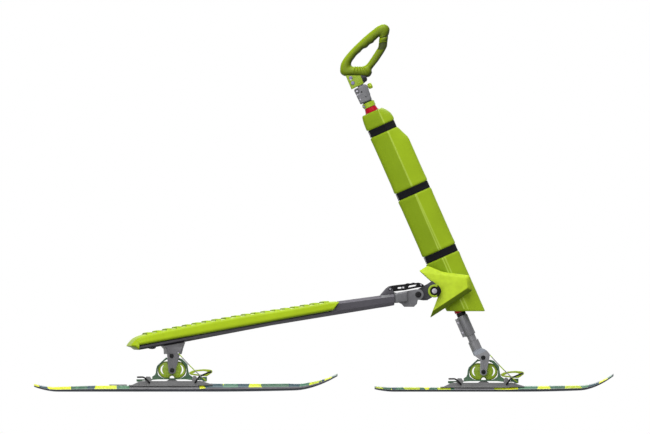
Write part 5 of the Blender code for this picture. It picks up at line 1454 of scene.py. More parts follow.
@dataclass
class Handle:
    """Closed hand loop with finger waves, its bracket and bolts.

    The waves, groove, ring, strut, pocket and ribs are runs of the loop, counted in stations.
    """

    shop: Workshop
    lift: float = -0.2
    waves: tuple[float, float] = (6.0, 11.5)
    wave_height: float = 1.1
    wave_length: float = 1.55
    groove: tuple[float, float] = (16.7, 17.1)
    ring: tuple[float, float] = (17.1, 18.5)
    ring_length: float = 1.4
    strut: tuple[float, float] = (18.6, 24.2)
    pocket: tuple[float, float] = (18.75, 20.6)
    ribs: tuple[float, float] = (26.6, 0.9)
    rib_start: float = 86.0
    rib_pitch: float = 9.6
    stations: tuple[tuple[float, float, float, float, float], ...] = (
        # outer x, outer z, inner x, inner z, half thickness, round the loop from the bottom bar
        (96, 914.0, 100, 943.3, 16), (74, 914.8, 86, 943.4, 16), (59, 916.0, 81, 945.5, 15.4),
        (50, 922.5, 80, 948, 14.6), (47.3, 933, 79.8, 951, 14.2), (51, 954, 81, 956, 14),
        (66, 977, 87, 965, 13.6), (86, 999, 102, 982.8, 13.2), (100, 1012.5, 115, 993.2, 13),
        (114, 1026, 127.5, 1001.5, 13), (128, 1038, 140, 1011, 13), (143, 1050, 149, 1019, 13.4),
        (159, 1061.8, 153.6, 1023.6, 13.8), (174, 1066, 157.2, 1027.2, 14), (184.8, 1062.3, 159.4, 1028.8, 14),
        (190.7, 1053, 160.4, 1029, 13.8), (190, 1042, 160.8, 1028.2, 13), (186.8, 1031.5, 160.8, 1025.6, 12.2),
        (185.4, 1022, 160.2, 1018, 12), (184.4, 1012, 159.2, 1009, 12), (183.0, 1001, 157.4, 999, 11.8),
        (175.5, 986, 151.0, 988.5, 11), (167.0, 973, 145.4, 979.5, 10.6), (157.6, 959, 137.2, 967.3, 10.4),
        (148.6, 947.5, 129.5, 955.7, 10.8), (139.2, 934.6, 123.5, 949, 12.2), (139.6, 924.5, 117.5, 945.5, 15),
        (131.5, 913.2, 112, 943.6, 16), (115, 912.6, 107, 943.4, 16))

    def build(self) -> None:
        """Build the loop, the bracket and the bolts."""
        self._grip()
        bracket = Shape.eased(["handle_bracket"], 1.5 * MM, 3, moved=self._reach_grip)
        split = on_column(11.4 * MM, 0.0, 643.5 * MM)
        forward = column_matrix().to_3x3() @ Vector((1.0, 0.0, 0.0))
        Shape.cut(bracket, split, forward)
        for face in bracket.faces:
            face.material_index = 1 if (face.calc_center_median() - split).dot(forward) > 0.0 else 0
        self.shop.piece("bracket_casting", bracket, ("lime_paint", "lug_dark"), "handle", "bracket_green",
                        ["handle_bracket"], 32)
        for side in Side:
            out = Vector((0.0, side.value, 0.0))
            for label, f, u in (("lower", -17.2, 647.4), ("upper", -17.0, 663.6)):
                seat = on_column(f * MM, side.value * 15.0 * MM, u * MM)
                head = Fastener(5.2 * MM, 2.2 * MM, 0.44).mesh(seat, out)
                self.shop.piece(f"{side.prefix}bracket_{label}_bolt", head, "violet_anodised", "handle",
                                "bolt_silver")
            seat = on_column(17.9 * MM, side.value * 15.3 * MM, 643.5 * MM)
            head = Fastener(6.0 * MM, 3.0 * MM, 0.46).mesh(seat, out)
            self.shop.piece(f"{side.prefix}bracket_front_bolt", head, "black_steel", "handle", "bolt_black")
        start = on_column(17.9 * MM, -15.4 * MM, 643.5 * MM)
        turn = Shape.standing(start, Vector((0.0, 1.0, 0.0)))
        bm = Shape.turned([(0.0, 0.0), (2.9, 0.0), (2.9, 30.8), (0.0, 30.8)], turn, 16)
        self.shop.piece("bracket_front_shank", bm, "black_steel", "handle", "bolt_black", ["bracket_bolt"])

    @staticmethod
    def _reach_grip(p: Vector) -> Vector:
        """Bracket's upper edge carried on up into the loop's bottom bar."""
        return p + Vector((0.0, 0.0, 3.5 * MM)) if p.z > 0.9115 else p

    def _grip(self) -> None:
        """Loop lofted through its stations, with waves, ribs, a socket ring and a pocket."""
        outer = [Vector((a, 0.0, b)) for a, b, *_ in self.stations]
        inner = [Vector((c, 0.0, d)) for _, _, c, d, _ in self.stations]
        thick = [Vector((t, 0.0, 0.0)) for *_, t in self.stations]
        fine = 8
        count = len(outer)

        def curve(points: Sequence[Vector], k: int, t: float) -> Vector:
            return Shape.spline(*(points[(k + i) % count] for i in (-1, 0, 1, 2)), t)

        drop = column_matrix().to_3x3() @ Vector((0.0, 0.0, self.lift * MM))
        rows, pocket_rows = [], []
        sides = 32
        for k in range(count):
            for i in range(fine):
                t = i / fine
                o, n, half = curve(outer, k, t), curve(inner, k, t), curve(thick, k, t).x
                centre, across = (o + n) / 2, (o - n) / 2
                reach = across.length
                direction = across.normalized()
                row = []
                wave = 0.0
                at = k + t
                start, stop = self.waves
                if start <= at <= stop:
                    fade = min(at - start, stop - at, 1.0)
                    wave = self.wave_height * fade * math.sin((at - start) * math.tau / self.wave_length)
                strut = self.strut[0] <= at <= self.strut[1]
                pocket = self.pocket[0] <= at <= self.pocket[1]
                for j in range(sides):
                    a = math.tau * j / sides
                    c, s = math.cos(a), math.sin(a)
                    power = 2.0 / (2.7 if strut else 2.25)
                    x = math.copysign(abs(c) ** power, c) * reach
                    y = math.copysign(abs(s) ** power, s) * half
                    if c < 0:
                        x += wave * c * c
                        y *= 1.0 - 0.10 * max(wave, 0.0) * min(-2.0 * c, 1.0)
                    if self.ring[0] <= at <= self.ring[1]:
                        bulge = math.sin((at - self.ring[0]) / self.ring_length * math.pi)
                        x, y = x * (1 + 0.04 * bulge), y * (1 + 0.12 * bulge)
                    if self.groove[0] <= at < self.groove[1]:
                        x, y = x * 0.94, y * 0.86
                    if at >= self.ribs[0] or at <= self.ribs[1]:
                        run = (centre.x - self.rib_start) / self.rib_pitch
                        rib = max(0.0, math.cos(math.tau * run))
                        x -= 1.3 * rib * max(0.0, -c - 0.1)
                        y *= 1.0 + 0.12 * rib * min(max(0.35 - c, 0.0), 1.0)
                    if pocket and abs(s) > 0.56 and abs(c) < 0.83:
                        y -= math.copysign(2.6, s)
                    row.append((centre + direction * x) * MM + Vector((0.0, y * MM, 0.0)) + drop)
                rows.append(row)
                pocket_rows.append(pocket)
        bm = Shape.loft(rows + [rows[0]], caps=False)
        bm.faces.ensure_lookup_table()
        # Pocket and groove faces take the second finish: painted shade in the recess and the groove
        for face in bm.faces:
            row, j = divmod(face.index, sides)
            middle = (j + 0.5) * math.tau / sides
            if pocket_rows[row] and abs(math.sin(middle)) > 0.6 and abs(math.cos(middle)) < 0.8:
                face.material_index = 1
            if self.groove[0] <= row / fine < self.groove[1]:
                face.material_index = 1
        bmesh.ops.remove_doubles(bm, verts=bm.verts, dist=1e-7)
        self.shop.piece("hand_loop", Shape.tidy(bm), ("grip_plastic", "grip_shade"), "handle", "grip_green",
                        ["handle_grip"], 42)


@dataclass
class RearArm:
    """One rear arm: yoke plate, knuckle, latch, rail, foam deck with treads, and clevis."""

    shop: Workshop
    side: Side
    deck_half: float = 48.5
    tread_start: float = -520.0
    tread_pitch: float = 28.5
    tread_length: float = 16.0
    tread_rows: int = 19
    deck_top: tuple[tuple[float, float], ...] = (
        (-566, 133.5), (-563, 139.5), (-557, 147.3), (-548, 155.4), (-536, 161.4), (-519, 167.0), (-485, 173.8),
        (-440, 183), (-355, 200), (-229, 222.3), (-100, 241.4), (-20, 255.3), (14, 261.2), (30, 261.9),
        (36, 260.6))
    deck_bottom: tuple[tuple[float, float], ...] = (
        (-566, 132.2), (-561, 130.4), (-553, 128.2), (-548, 124.4), (-543.4, 121.6), (-543, 134.2),
        (-100, 214.2), (20, 235.3), (28, 247), (36, 258.8))
    rail_top: tuple[tuple[float, float], ...] = (
        (-543, 133.5), (-100, 213.3), (20.6, 234.3), (38.8, 262), (165, 279), (201.6, 283))
    rail_bottom: tuple[tuple[float, float], ...] = (
        (-543, 122), (-539, 121), (-402, 145), (-156, 192), (178, 246.5), (201.6, 250.5))

    @property
    def body(self) -> str:
        """Body that the folding arm rides on."""
        return self.side.prefix + "arm"

    def build(self) -> None:
        """Build every piece of the arm."""
        self._rail()
        self._deck()
        self._treads()
        self._joint()
        self._latch()
        node = self.side.prefix + "rear_fork"
        self.shop.piece(self.side.prefix + "rear_clevis", Shape.eased([node], 1.1 * MM, 3), "fork_alloy",
                        self.body, "cast_grey", [node], 32)

    def _section(self, x: float, loop: Sequence[tuple[float, float]]) -> list[Vector]:
        """Ring of points across the arm at x, from sideways and height pairs in millimetres."""
        matrix = arm_matrix(self.side)
        return [matrix @ (along_arm(x, z) + Vector((0.0, y * MM, 0.0))) for y, z in loop]

    def _rail(self) -> None:
        """Extruded rail: flat top, upright flanks and a narrower keel, with an end cap."""
        rows = []
        xs = [-543, -541.5, -538, -470, -402, -300, -156, -60, 18, 24, 30, 36, 42, 90, 150, 162, 168, 180,
              196, 200, 201.6]
        for x in xs:
            top, low = Shape.between(self.rail_top, x), Shape.between(self.rail_bottom, x)
            tall = top - low
            ease = 1.2 if x in (-543, 201.6) else 0.0
            wide = 24.0 - ease
            keel = low + (0.44 if tall < 20 else 0.30) * tall
            brow = top - (1.6 if tall < 20 else 6.5)
            shoulder = 3.0 if tall < 20 else 6.0
            half = [(wide - 8.5, low + ease), (wide - 7.4, low + ease), (wide - 0.5, keel - 1.0),
                    (wide, keel + 0.3), (wide, keel + 1.6), (wide, brow - 0.6), (wide - 0.4, brow),
                    (wide - shoulder, top - ease)]
            rows.append(self._section(x, Shape.mirrored(half)))
        self.shop.piece(self.side.prefix + "arm_extrusion", Shape.loft(rows), "rail_alloy", self.body,
                        "rail_grey", [self.side.prefix + "arm_rail"], 24)
        rows = []
        for x, grow in ((163.0, -0.6), (163.8, 0.25), (188.0, 0.25), (190.0, -0.5)):
            top, low = Shape.between(self.rail_top, x), Shape.between(self.rail_bottom, x)
            wide = 23.7 + grow
            half = [(15.2 + grow, low - grow), (wide, low + 11.2), (wide, top - 6.6), (17.6 + grow, top + grow)]
            rows.append(self._section(x, Shape.mirrored(half)))
        self.shop.piece(self.side.prefix + "arm_end_band", Shape.loft(rows), "knuckle_alloy", self.body,
                        "rail_grey", angle=24)
        ear = [(163.5, 278.6), (167.5, 283.5), (181, 299), (186.5, 303.2), (193, 302.8), (198.5, 297), (201.3, 282.8)]
        place = arm_matrix(self.side)
        loop = [Vector((p.x, 0.0, p.z)) for p in (along_arm(x, z) for x, z in ear)]
        ears = [Shape.slab([loop], *sorted((w * 7.2 * MM, w * 10.6 * MM)), 0.9 * MM, place, 2) for w in (-1, 1)]
        self.shop.piece(self.side.prefix + "latch_ears", Shape.join(*ears), "rail_alloy", self.body,
                        "cast_grey", angle=40)
        x, z = -498.0, Shape.between(self.rail_bottom, -498.0)
        rows = [self._section(x + d, [(8 * c * g, z + 2.0 - 4.6 * g + 2.2 * s) for c, s in Shape.circle(1.0, 14)])
                for d, g in ((-11, 0.35), (-8, 0.8), (0, 1.0), (7, 0.8), (11, 0.3))]
        self.shop.piece(self.side.prefix + "arm_drain_plug", Shape.loft(rows), "black_nylon", self.body,
                        "bolt_black")

    def _deck(self) -> None:
        """Crowned foam deck that curls down over the rail's tail."""
        rows = []
        xs = [-566, -565.3, -564, -561.5, -558, -553, -550, -546.5, -543.4, -543, -540, -532, -522, -510, -495]
        xs += [-480 + 15.0 * k for k in range(33)] + [12, 20, 26, 30, 33, 35, 36]
        for x in xs:
            top, low = Shape.between(self.deck_top, x), Shape.between(self.deck_bottom, x)
            tail = max((-522.0 - x) / 44.0, 0.0)
            nose = max((x - 22.0) / 14.0, 0.0)
            wide = self.deck_half * math.sqrt(max(1.0 - 0.42 * tail ** 2.6 - 0.10 * nose ** 2, 0.1))
            tall = top - low
            corner = min(8.0, 0.46 * tall)
            under = min(6.0, 0.3 * tall)
            crown = 0.8 * min(tall / 15.0, 1.0)
            half = [(0.0, low), (wide - 13, low), (wide - under - 1.6, low + 0.15)]
            for k in range(1, 5):
                a = math.pi / 2 * k / 4
                half.append((wide - under * (1 - math.sin(a)) - 0.4, low + under * (1 - math.cos(a))))
            half.append((wide, low + under + 0.12 * tall))
            half.append((wide - 0.8, low + 0.5 * (under + tall - corner)))
            for k in range(0, 6):
                a = math.pi / 2 * k / 5
                half.append((wide - 1.2 - corner * (1 - math.cos(a)), top - crown - corner * (1 - math.sin(a))))
            half += [(wide - corner - 10, top - 0.35 * crown), (0.5 * wide - 6, top), (0.0, top)]
            mirrored = [(-y, z) for y, z in reversed(half[1:-1])]
            rows.append(self._section(x, half + mirrored))
        deck = self.shop.piece(self.side.prefix + "foot_deck", Shape.loft(rows), "deck_foam_skin", self.body,
                               "deck_foam", [self.side.prefix + "deck_pad"], 50)

    def _treads(self) -> None:
        """Rows of five raised grip blocks, two of them narrower in every other row."""
        blocks = []
        for row in range(self.tread_rows):
            x = self.tread_start + row * self.tread_pitch
            for y0, y1 in ((-38, -25), (-22, -8), (-5, 5), (8, 22), (25, 38)):
                if row % 2 and y0 in (-22, 8):
                    y0, y1 = y0 + 3, y1 - 3
                blocks.append(self._tread_block(x, y0, y1, self.tread_length))
        self.shop.piece(self.side.prefix + "deck_treads", Shape.join(*blocks), "deck_tread_rubber", self.body,
                        "deck_foam", angle=50)

    def _tread_block(self, x: float, y0: float, y1: float, length: float) -> bmesh.types.BMesh:
        """One grip block with sloping sides, on the deck's top."""
        rows = []
        for inset, rise in ((-1.2, -1.2), (0.0, 0.6), (0.7, 2.2), (2.0, 3.1)):
            ring = []
            corner = 1.8
            for cx, cy, start in ((x + length - inset, y1 - inset, 0), (x + inset, y1 - inset, 90),
                                  (x + inset, y0 + inset, 180), (x + length - inset, y0 + inset, 270)):
                ox = -corner if start in (0, 270) else corner
                oy = -corner if start in (0, 90) else corner
                for k in range(4):
                    a = math.radians(start + 30 * k)
                    px, py = cx + ox + corner * math.cos(a), cy + oy + corner * math.sin(a)
                    level = Shape.between(self.deck_top, px) + rise
                    ring.append(self._section(px, [(py, level)])[0])
            rows.append(ring)
        return Shape.loft(rows)

    def _joint(self) -> None:
        """Yoke plate, knuckle with its round barrel, and the black fold bolt."""
        side, pre = self.side, self.side.prefix
        self.shop.piece(pre + "yoke_plate", Shape.eased([pre + "yoke_arm"], 1.6 * MM, 3), "yoke_alloy",
                        pre + "yoke", "yoke_dark", [pre + "yoke_arm"], 32)
        self.shop.piece(pre + "knuckle_casting", Shape.eased([pre + "arm_knuckle"], 1.2 * MM, 3), "knuckle_alloy",
                        self.body, "cast_grey", [pre + "arm_knuckle"], 32)
        out = Vector((0.0, side.value, 0.0))
        pivot = Vector((FOLD.x, 0.0, FOLD.z))
        head = Fastener(8.7 * MM, 4.0 * MM, 0.5).mesh(pivot + out * 113.3 * MM, out)
        self.shop.piece(pre + "fold_bolt_head", head, "black_steel", pre + "yoke", "bolt_black")
        nut = Fastener(8.7 * MM, 6.6 * MM, 0.42).mesh(pivot + out * 70.0 * MM, -out)
        turn = Shape.standing(pivot + out * 69.5 * MM, out)
        shank = Shape.turned([(0.0, 0.0), (5.9, 0.0), (5.9, 44.0), (0.0, 44.0)], turn, 24)
        self.shop.piece(pre + "fold_bolt_shank", Shape.join(nut, shank), "bright_steel", pre + "yoke",
                        "bolt_black", [pre + "knuckle_bolt"])

    def _latch(self) -> None:
        """Black over-centre lever with its rivets and two washers."""
        pre = self.side.prefix
        self.shop.piece(pre + "latch_handle", Shape.eased([pre + "latch_lever"], 0.8 * MM, 2), "black_nylon",
                        pre + "latch", "latch_black", [pre + "latch_lever"], 32)
        matrix = arm_matrix(self.side)
        for n, (x, z, radius, seat_y) in enumerate(((190.9, 297.3, 2.7, 11.0), (227.5, 301.2, 2.3, 6.4),
                                                    (281.0, 309.6, 2.3, 6.4))):
            for way in (-1, 1):
                seat = matrix @ (along_arm(x, z) + Vector((0.0, way * seat_y * MM, 0.0)))
                out = (matrix.to_3x3() @ Vector((0.0, way, 0.0))).normalized()
                turn = Shape.standing(seat, out)
                profile = [(0.0, 0.0), (radius, 0.0), (radius * 0.95, 0.6), (radius * 0.6, 1.1), (0.0, 1.25)]
                rivet = Shape.turned(profile, turn, 20)
                place = "in" if way == -self.side.value else "out"
                self.shop.piece(f"{pre}latch_rivet_{n}_{place}", rivet, "bright_steel", pre + "latch",
                                "bolt_silver")
                if n == 0:
                    disc = Shape.turned([(0.0, -0.9), (5.0, -0.9), (5.0, -0.1), (4.5, 0.2), (0.0, 0.2)], turn, 28)
                    self.shop.piece(f"{pre}latch_washer_{place}", disc, "black_nylon", pre + "latch",
                                    "latch_black")


@dataclass
class SkiUnit:
    """One ski with its plate, truck, spring block, bails, lever, bolts and tether.

    Attributes:
        prefix: Start of the piece names, "front_", "right_" or "left_".
        pivot: Pivot of the ski unit in the row frame.
        tether_side: Side of the truck that the tether hangs on, -1 or 1.
        shift: Moves the patchwork along the ski.
    """

    shop: Workshop
    prefix: str
    pivot: Vector
    tether_side: int
    shift: float
    waist: float = 37.5
    wide_tip: float = 52.5
    wide_tail: float = 47.5
    rear_thick: tuple[tuple[float, float], ...] = (
        (-400.2, 9.0), (-372, 11.5), (-330, 14.2), (-272, 16.2), (-214, 18.0), (75, 18.0), (112, 23.6), (200, 23.0),
        (330, 21.2), (400, 17.0), (440, 12.0), (480, 7.5))
    front_thick: tuple[tuple[float, float], ...] = (
        (-316.1, 9.0), (-300, 11.2), (-277, 12.6), (-225, 13.8), (-125, 13.0), (75, 13.0), (112, 16.8), (200, 16.6),
        (260, 15.8), (300, 13.5), (340, 10.5), (377, 7.5))
    ground: float = -44.0
    wire: float = 2.4

    @property
    def front(self) -> bool:
        """Whether this is the steered ski."""
        return self.prefix == "front_"

    @property
    def body(self) -> str:
        """Body that the pieces ride on."""
        return self.prefix + "ski_unit"

    def build(self) -> None:
        """Build every piece of the unit."""
        self._ski()
        pre = self.prefix
        plate = Shape.eased([pre + "binding_plate"], 0.8 * MM, 3, moved=self._plate_shape)
        self.shop.piece(pre + "mount_plate", plate, "plate_grey_nylon", self.body, "binding_grey",
                        [pre + "binding_plate"], 32)
        rocker = Shape.eased([pre + "truck"], 0.9 * MM, 3, moved=self._rocker_shape)
        self.shop.piece(pre + "rocker", rocker, "truck_green_nylon", self.body, "truck_green", [pre + "truck"], 32)
        rise = [Vector((x, 0.0, z)) * MM for x, z in ((-18, -32.2), (18, -32.2), (9, -25.8), (-8, -25.8))]
        self.shop.piece(pre + "rocker_seat", Shape.slab([rise], -30 * MM, 30 * MM, 0.8 * MM,
                                                        Matrix.Translation(self.pivot), 2),
                        "plate_grey_nylon", self.body, "binding_grey", angle=40)
        self._spring_block()
        self._bail("toe", ((67, -33.6, -36), (67, -41, -36), (78.9, -41, -17.7), (112.2, -30, -3.8)),
                   Vector((-0.58, 0.0, 0.81)))
        self._bail("heel", ((-65.3, -33.6, -36), (-65.3, -41, -36), (-81.2, -41, -19.6), (-99.6, -34, -19.9)),
                   Vector((0.38, 0.0, 0.92)))
        self.shop.piece(pre + "release_lever", Shape.eased([pre + "toe_lever"], 0.9 * MM, 3),
                        "lever_lime_plastic", pre + "toe_lever", "lever_green", [pre + "toe_lever"], 32)
        self._bolts()
        self._tether()

    def _at(self, x: float, y: float, z: float) -> Vector:
        """Point given in millimetres from the pivot."""
        return self.pivot + Vector((x, y, z)) * MM

    def _plate_shape(self, p: Vector) -> Vector:
        """Plate's flat top, set a little higher between the lugs."""
        q = (p - self.pivot) / MM
        if -33.0 < q.z < -32.0 and -93.0 < q.x < 76.0:
            return p + Vector((0.0, 0.0, 1.5 * MM))
        return p

    def _rocker_shape(self, p: Vector) -> Vector:
        """Rocker's arch raised to the spring block, with daylight between its sole and the plate."""
        q = (p - self.pivot) / MM
        rise = 0.0
        if q.z < -29.0 and abs(q.x) < 62.0:
            rise = -26.4 - q.z
        elif -28.0 < q.z < -26.6 and 55.0 < abs(q.x) < 76.0:
            rise = 2.4
        elif -28.5 < q.z < -24.5 and abs(q.x) < 27.0:
            rise = 3.4
        elif -23.5 < q.z < -20.5 and abs(q.x) < 34.0:
            rise = 2.2
        return p + Vector((0.0, 0.0, rise * MM))

    def outline(self, x: float) -> tuple[float, float, float, float]:
        """Half width, side wall height, base height and thickness of the ski at x."""
        tip, tail = self.ends
        thick, tail_rise = (13.0, 7.0) if self.front else (18.0, 14.0)
        nose, heel = 0.145 * (tip - tail), 0.08 * (tip - tail)
        grow = x / (tip - nose) if x > 0 else x / (tail + heel)
        wide = self.wide_tip if x > 0 else self.wide_tail
        half = self.waist + (wide - self.waist) * min(abs(grow), 1.0) ** 2
        end = max((x - tip + 0.62 * nose) / (0.62 * nose), 0.0)
        back = max((tail + 0.4 * heel - x) / (0.4 * heel), 0.0)
        half *= max(1 - end ** 2.4, 0.02) ** 0.5 * (1 - 0.45 * back ** 3)
        run = min(max((x - 110.0) / (tip - nose - 110.0), 0.0), 1.0)
        lift = (3.5 * run * run + 41.5 * max((x - tip + nose) / nose, 0.0) ** 1.8
                + tail_rise * max((tail + heel - x) / heel, 0.0) ** 1.8)
        high = Shape.between(self.front_thick if self.front else self.rear_thick, x)
        share = 0.52 if not self.front and x > 100.0 else 0.44
        return half, share * high, self.ground - thick + lift, high

    @property
    def ends(self) -> tuple[float, float]:
        """Places of the tip and the tail."""
        return (377.0, -316.1) if self.front else (480.0, -400.2)

    @property
    def plain(self) -> tuple[float, float]:
        """Ends of the bare grey length that carries the plate."""
        return (-85.0, 30.0) if self.front else (-123.0, 79.0)

    def _stations(self) -> list[float]:
        """Places along the ski, closer together where it curves."""
        tip, tail = self.ends
        nose, heel = 0.145 * (tip - tail), 0.08 * (tip - tail)
        xs = {tail, tip, -135.0, 75.0, 84.0, 94.0, 104.0, 112.0, 135.0, *self.plain, 0.0}
        xs |= {tail + heel * k / 14 for k in range(15)} | {tip - nose * (1 - k / 30) for k in range(30)}
        xs |= {tip - 0.62 * nose * (1 - k / 10) ** 2 * 0.25 for k in range(10)}
        xs |= {tail + heel + (tip - nose - tail - heel) * k / 36 for k in range(37)}
        ordered = sorted(xs)
        return [a for k, a in enumerate(ordered) if k == 0 or a - ordered[k - 1] > 0.15]

    def _ski(self) -> None:
        """Ski with a steel edge, a dark band of base colour that also paints the contact shadow under it, a grey side
        wall, sloped shoulders and a patchwork top.
        """
        xs = self._stations()
        rows = []
        for x in xs:
            half, wall, base, high = self.outline(x)
            slope = min(11.0, 0.6 * half)
            # Base colour runs up the side to this height: the base band, and also a painted contact shadow under the
            # ski
            dark = 0.30 * high if not self.front and x > 100.0 else 0.38 * high
            part = [(half - 1.6, 0.0), (half, 0.3), (half, 2.0), (half - 0.5, 2.3), (half - 0.35, dark - 0.2),
                    (half, dark + 0.2), (half - 0.25, wall), (half - 1.1, wall + 0.16 * (high - wall)),
                    (half - 0.62 * slope, high - 0.24 * (high - wall)), (half - slope - 1.0, high - 0.12),
                    (half - min(slope + 5, 0.85 * half), high)]
            rows.append([self._at(x, y, base + z) for y, z in Shape.mirrored(part)])
        bm = Shape.loft(rows)
        bm.faces.ensure_lookup_table()
        sides = len(rows[0])
        for face in bm.faces:
            centre = face.calc_center_median() - self.pivot
            row, k = divmod(face.index, sides)
            k = min(k, sides - 2 - k) if k < sides - 1 else -1
            if row >= len(xs) - 1:
                face.material_index = 1
            elif k >= 6 and self.plain[0] < centre.x / MM < self.plain[1]:
                face.material_index = 4
            elif k <= 1 and k != -1:
                face.material_index = 2
            elif k <= 3:
                face.material_index = 3
            elif k <= 5:
                face.material_index = 1
        sheet = SkiSheet(self.prefix + "ski_sheet", srgb(72, 122, 98), roughness=0.3, coat=0.35, tone=0.06,
                         grain=0.12, wear=0.35, worn=srgb(206, 216, 150), shift=self.shift, scuffs=0.06,
                         patches=Finishes.GREENS)
        Finishes.add(sheet)
        finishes = (sheet.name, "ski_sidewall", "ski_edge_steel", "ski_base", "ski_mount_grey")
        self.shop.piece(self.prefix + "snow_ski", bm, finishes, self.body, "ski_top", [self.prefix + "ski"], 34)
        if self.front:
            return
        rows = []
        for x, fall in ((-183, 1.6), (-181.5, 0.5), (-180, 0.0), (-150, 0.0), (-133, 0.0), (-131.5, 0.5), (-130, 1.6)):
            half, _, base, high = self.outline(x)
            wide = half - 14.0 - fall
            top = base + high + 3.0 - fall
            ring = [(-wide, base + high - 1.0), (wide, base + high - 1.0), (wide, top - 1.0), (wide - 1.2, top),
                    (1.2 - wide, top), (-wide, top - 1.0)]
            rows.append([self._at(x, y, z) for y, z in ring])
        self.shop.piece(self.prefix + "ski_riser", Shape.loft(rows), "ski_mount_grey", self.body, "binding_grey")

    def _spring_block(self) -> None:
        """Two-lobed spring block with two curved slots, a notch, a bore and its end rims."""
        def arc(x: float, z: float, radius: float, start: float, stop: float, count: int) -> list[Vector]:
            """Arc of points in millimetres."""
            turn = (math.radians(start + (stop - start) * k / count) for k in range(count + 1))
            return [Vector((x + radius * math.cos(a), 0.0, z + radius * math.sin(a))) * MM for a in turn]
        rim = (arc(-16.4, 1.3, 24.8, 48.8, 262, 40) + [Vector((-9, 0, -23.3)) * MM, Vector((-7.2, 0, -23.3)) * MM]
               + arc(0, -22.4, 6.6, 180, 0, 14) + [Vector((7.2, 0, -23.3)) * MM, Vector((9, 0, -23.3)) * MM]
               + arc(16.4, 1.3, 24.8, -82, 131.2, 40))
        slots = [arc(w * 18.7, 2.2, 14.6, turn - 70, turn + 70, 24) + arc(w * 9.0, 2.2, 19.6, turn + 40, turn - 40, 16)
                 for w, turn in ((1, 0), (-1, 180))]
        bore = Shape.ring(0, 0, 4.3, 24)
        place = Matrix.Translation(self.pivot)
        block = Shape.slab([rim] + slots + [bore], -18.6 * MM, 18.6 * MM, 1.2 * MM, place, 3)
        self.shop.piece(self.prefix + "spring_block", block, "spring_block_lime", self.body,
                        "elastomer_yellow", [self.prefix + "elastomer"], 40)
        for way in (-1, 1):
            low, high = sorted((way * 18.2 * MM, way * 20.0 * MM))
            inner = Shape.inset(rim, 3.4 * MM)
            lip = Shape.slab([Shape.inset(rim, 0.9 * MM), inner], low, high, 0.5 * MM, place, 2)
            self.shop.piece(f"{self.prefix}spring_lip_{'near' if way < 0 else 'far'}", lip, "spring_lip_olive",
                            self.body, "elastomer_yellow", angle=40)

    @staticmethod
    def _bent(points: Sequence[Vector], radius: float, steps: int = 6) -> list[Vector]:
        """Open path through the points with its corners rounded."""
        out = [points[0]]
        for before, p, after in zip(points, points[1:], points[2:]):
            reach = min(radius, 0.45 * (before - p).length, 0.45 * (after - p).length)
            out += Shape.corner(before, p, after, reach, steps)
        return out + [points[-1]]

    def _bail(self, label: str, half: Sequence[tuple[float, float, float]], up: Vector) -> None:
        """Wire bail bent from one rod, mirrored across the ski."""
        points = [self._at(*p) for p in half] + [self._at(x, -y, z) for x, y, z in reversed(half)]
        path = self._bent(points, 6.0 * MM)
        rod = Shape.sweep(path, lambda share: Shape.circle(self.wire * MM, 14), up)
        name = self.prefix + label + "_bail"
        self.shop.piece(f"{self.prefix}{label}_wire", rod, "black_steel", name, "wire_dark", [name], 50)

    def _bolts(self) -> None:
        """Pivot bolt, stop bolt and the small silver screws."""
        fork = "steerer" if self.front else self.prefix + "arm"
        pre = self.prefix
        for way in (-1, 1):
            out = Vector((0.0, way, 0.0))
            label = "near" if way < 0 else "far"
            low = Fastener(6.5 * MM, 4.0 * MM, 0.5).mesh(self._at(0, way * 29.8, 0), out)
            self.shop.piece(f"{pre}pivot_head_{label}", low, "black_steel", fork, "bolt_black")
            high = Fastener(6.3 * MM, 3.6 * MM, 0.48).mesh(self._at(-1, way * 29.6, 41.8), out)
            self.shop.piece(f"{pre}stop_head_{label}", high, "black_steel", fork, "bolt_black")
            small = Fastener(2.2 * MM, 1.4 * MM, 0.4).mesh(self._at(18, way * 29.6, 50), out)
            self.shop.piece(f"{pre}fork_screw_{label}", small, "bright_steel", fork, "bolt_silver")
        turn = Shape.standing(self._at(0, -29.9, 0), Vector((0.0, 1.0, 0.0)))
        shank = Shape.turned([(0.0, 0.0), (3.9, 0.0), (3.9, 59.8), (0.0, 59.8)], turn, 20)
        self.shop.piece(pre + "pivot_shank", shank, "bright_steel", fork, "bolt_black", [pre + "pivot_bolt"])
        for x, y in ((-92.0, 22.0), (-92.0, -22.0), (92.0, 22.0), (92.0, -22.0)):
            screw = Fastener(4.4 * MM, 1.8 * MM, 0.42).mesh(self._at(x, y, self.plate_top(x)), Vector((0, 0, 1)))
            self.shop.piece(f"{pre}plate_screw_{'f' if x > 0 else 'r'}{'l' if y > 0 else 'r'}", screw,
                            "bright_steel", self.body, "bolt_silver")

    def plate_top(self, x: float) -> float:
        """Height of the mount plate's top at x, found by casting a ray down."""
        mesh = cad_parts[self.prefix + "binding_plate"].data
        tree = BVHTree.FromPolygons([v.co for v in mesh.vertices], [tuple(f.vertices) for f in mesh.polygons])
        place = tree.ray_cast(self._at(x, 22.0, 60.0), Vector((0.0, 0.0, -1.0)))[0]
        return (place.z - self.pivot.z) / MM if place else self.ground + 6.0

    def _tether(self) -> None:
        """Braided safety cord that hangs from the clevis to the front of the plate."""
        y = self.tether_side
        knots = [self._at(*p) for p in ((20, 31.7 * y, 48), (32, 38 * y, 34.5), (57, 45 * y, 8.2), (82, 46 * y, -15.6),
                                       (96, 43.5 * y, -28.0), (98.8, 37.5 * y, -30.6), (98.5, 34.6 * y, -31))]
        path = Shape.smooth_path(knots, 5.2 * MM)
        rod = Shape.sweep(path, lambda share: Shape.circle(1.5 * MM, 12), Vector((0.7, 0.1, 0.7)))
        cord = self.shop.piece(self.prefix + "tether", rod, "tether_braid", self.body, "strap_black", angle=60)


def log_to_console() -> None:
    """Send the messages of this script to the console."""
    logging.basicConfig(level=logging.INFO, format="%(levelname)s %(message)s")


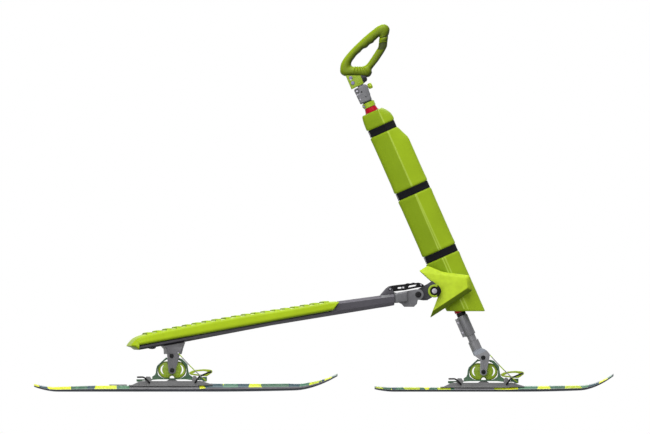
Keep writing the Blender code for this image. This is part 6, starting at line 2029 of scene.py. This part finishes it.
def main() -> None:
    """Build the trike over the CAD frame, with its studio."""
    log_to_console()
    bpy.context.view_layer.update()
    scene = bpy.context.scene
    scene.view_settings.view_transform = "Standard"
    Studio().build()
    shop = Workshop()
    PadCover(shop).build()
    ColumnFittings(shop).build()
    Handle(shop).build()
    for side in Side:
        RearArm(shop, side).build()
    SkiUnit(shop, "front_", Vector((0.4633, 0.0, 0.057)), -1, 0.0).build()
    SkiUnit(shop, "right_", Vector((-0.4401, -0.23699, 0.062)), -1, 0.37).build()
    SkiUnit(shop, "left_", Vector((-0.4401, 0.23699, 0.062)), 1, 0.81).build()
    LOG.info("%d pieces made", len(shop.made))


if __name__ == "__main__":
    main()
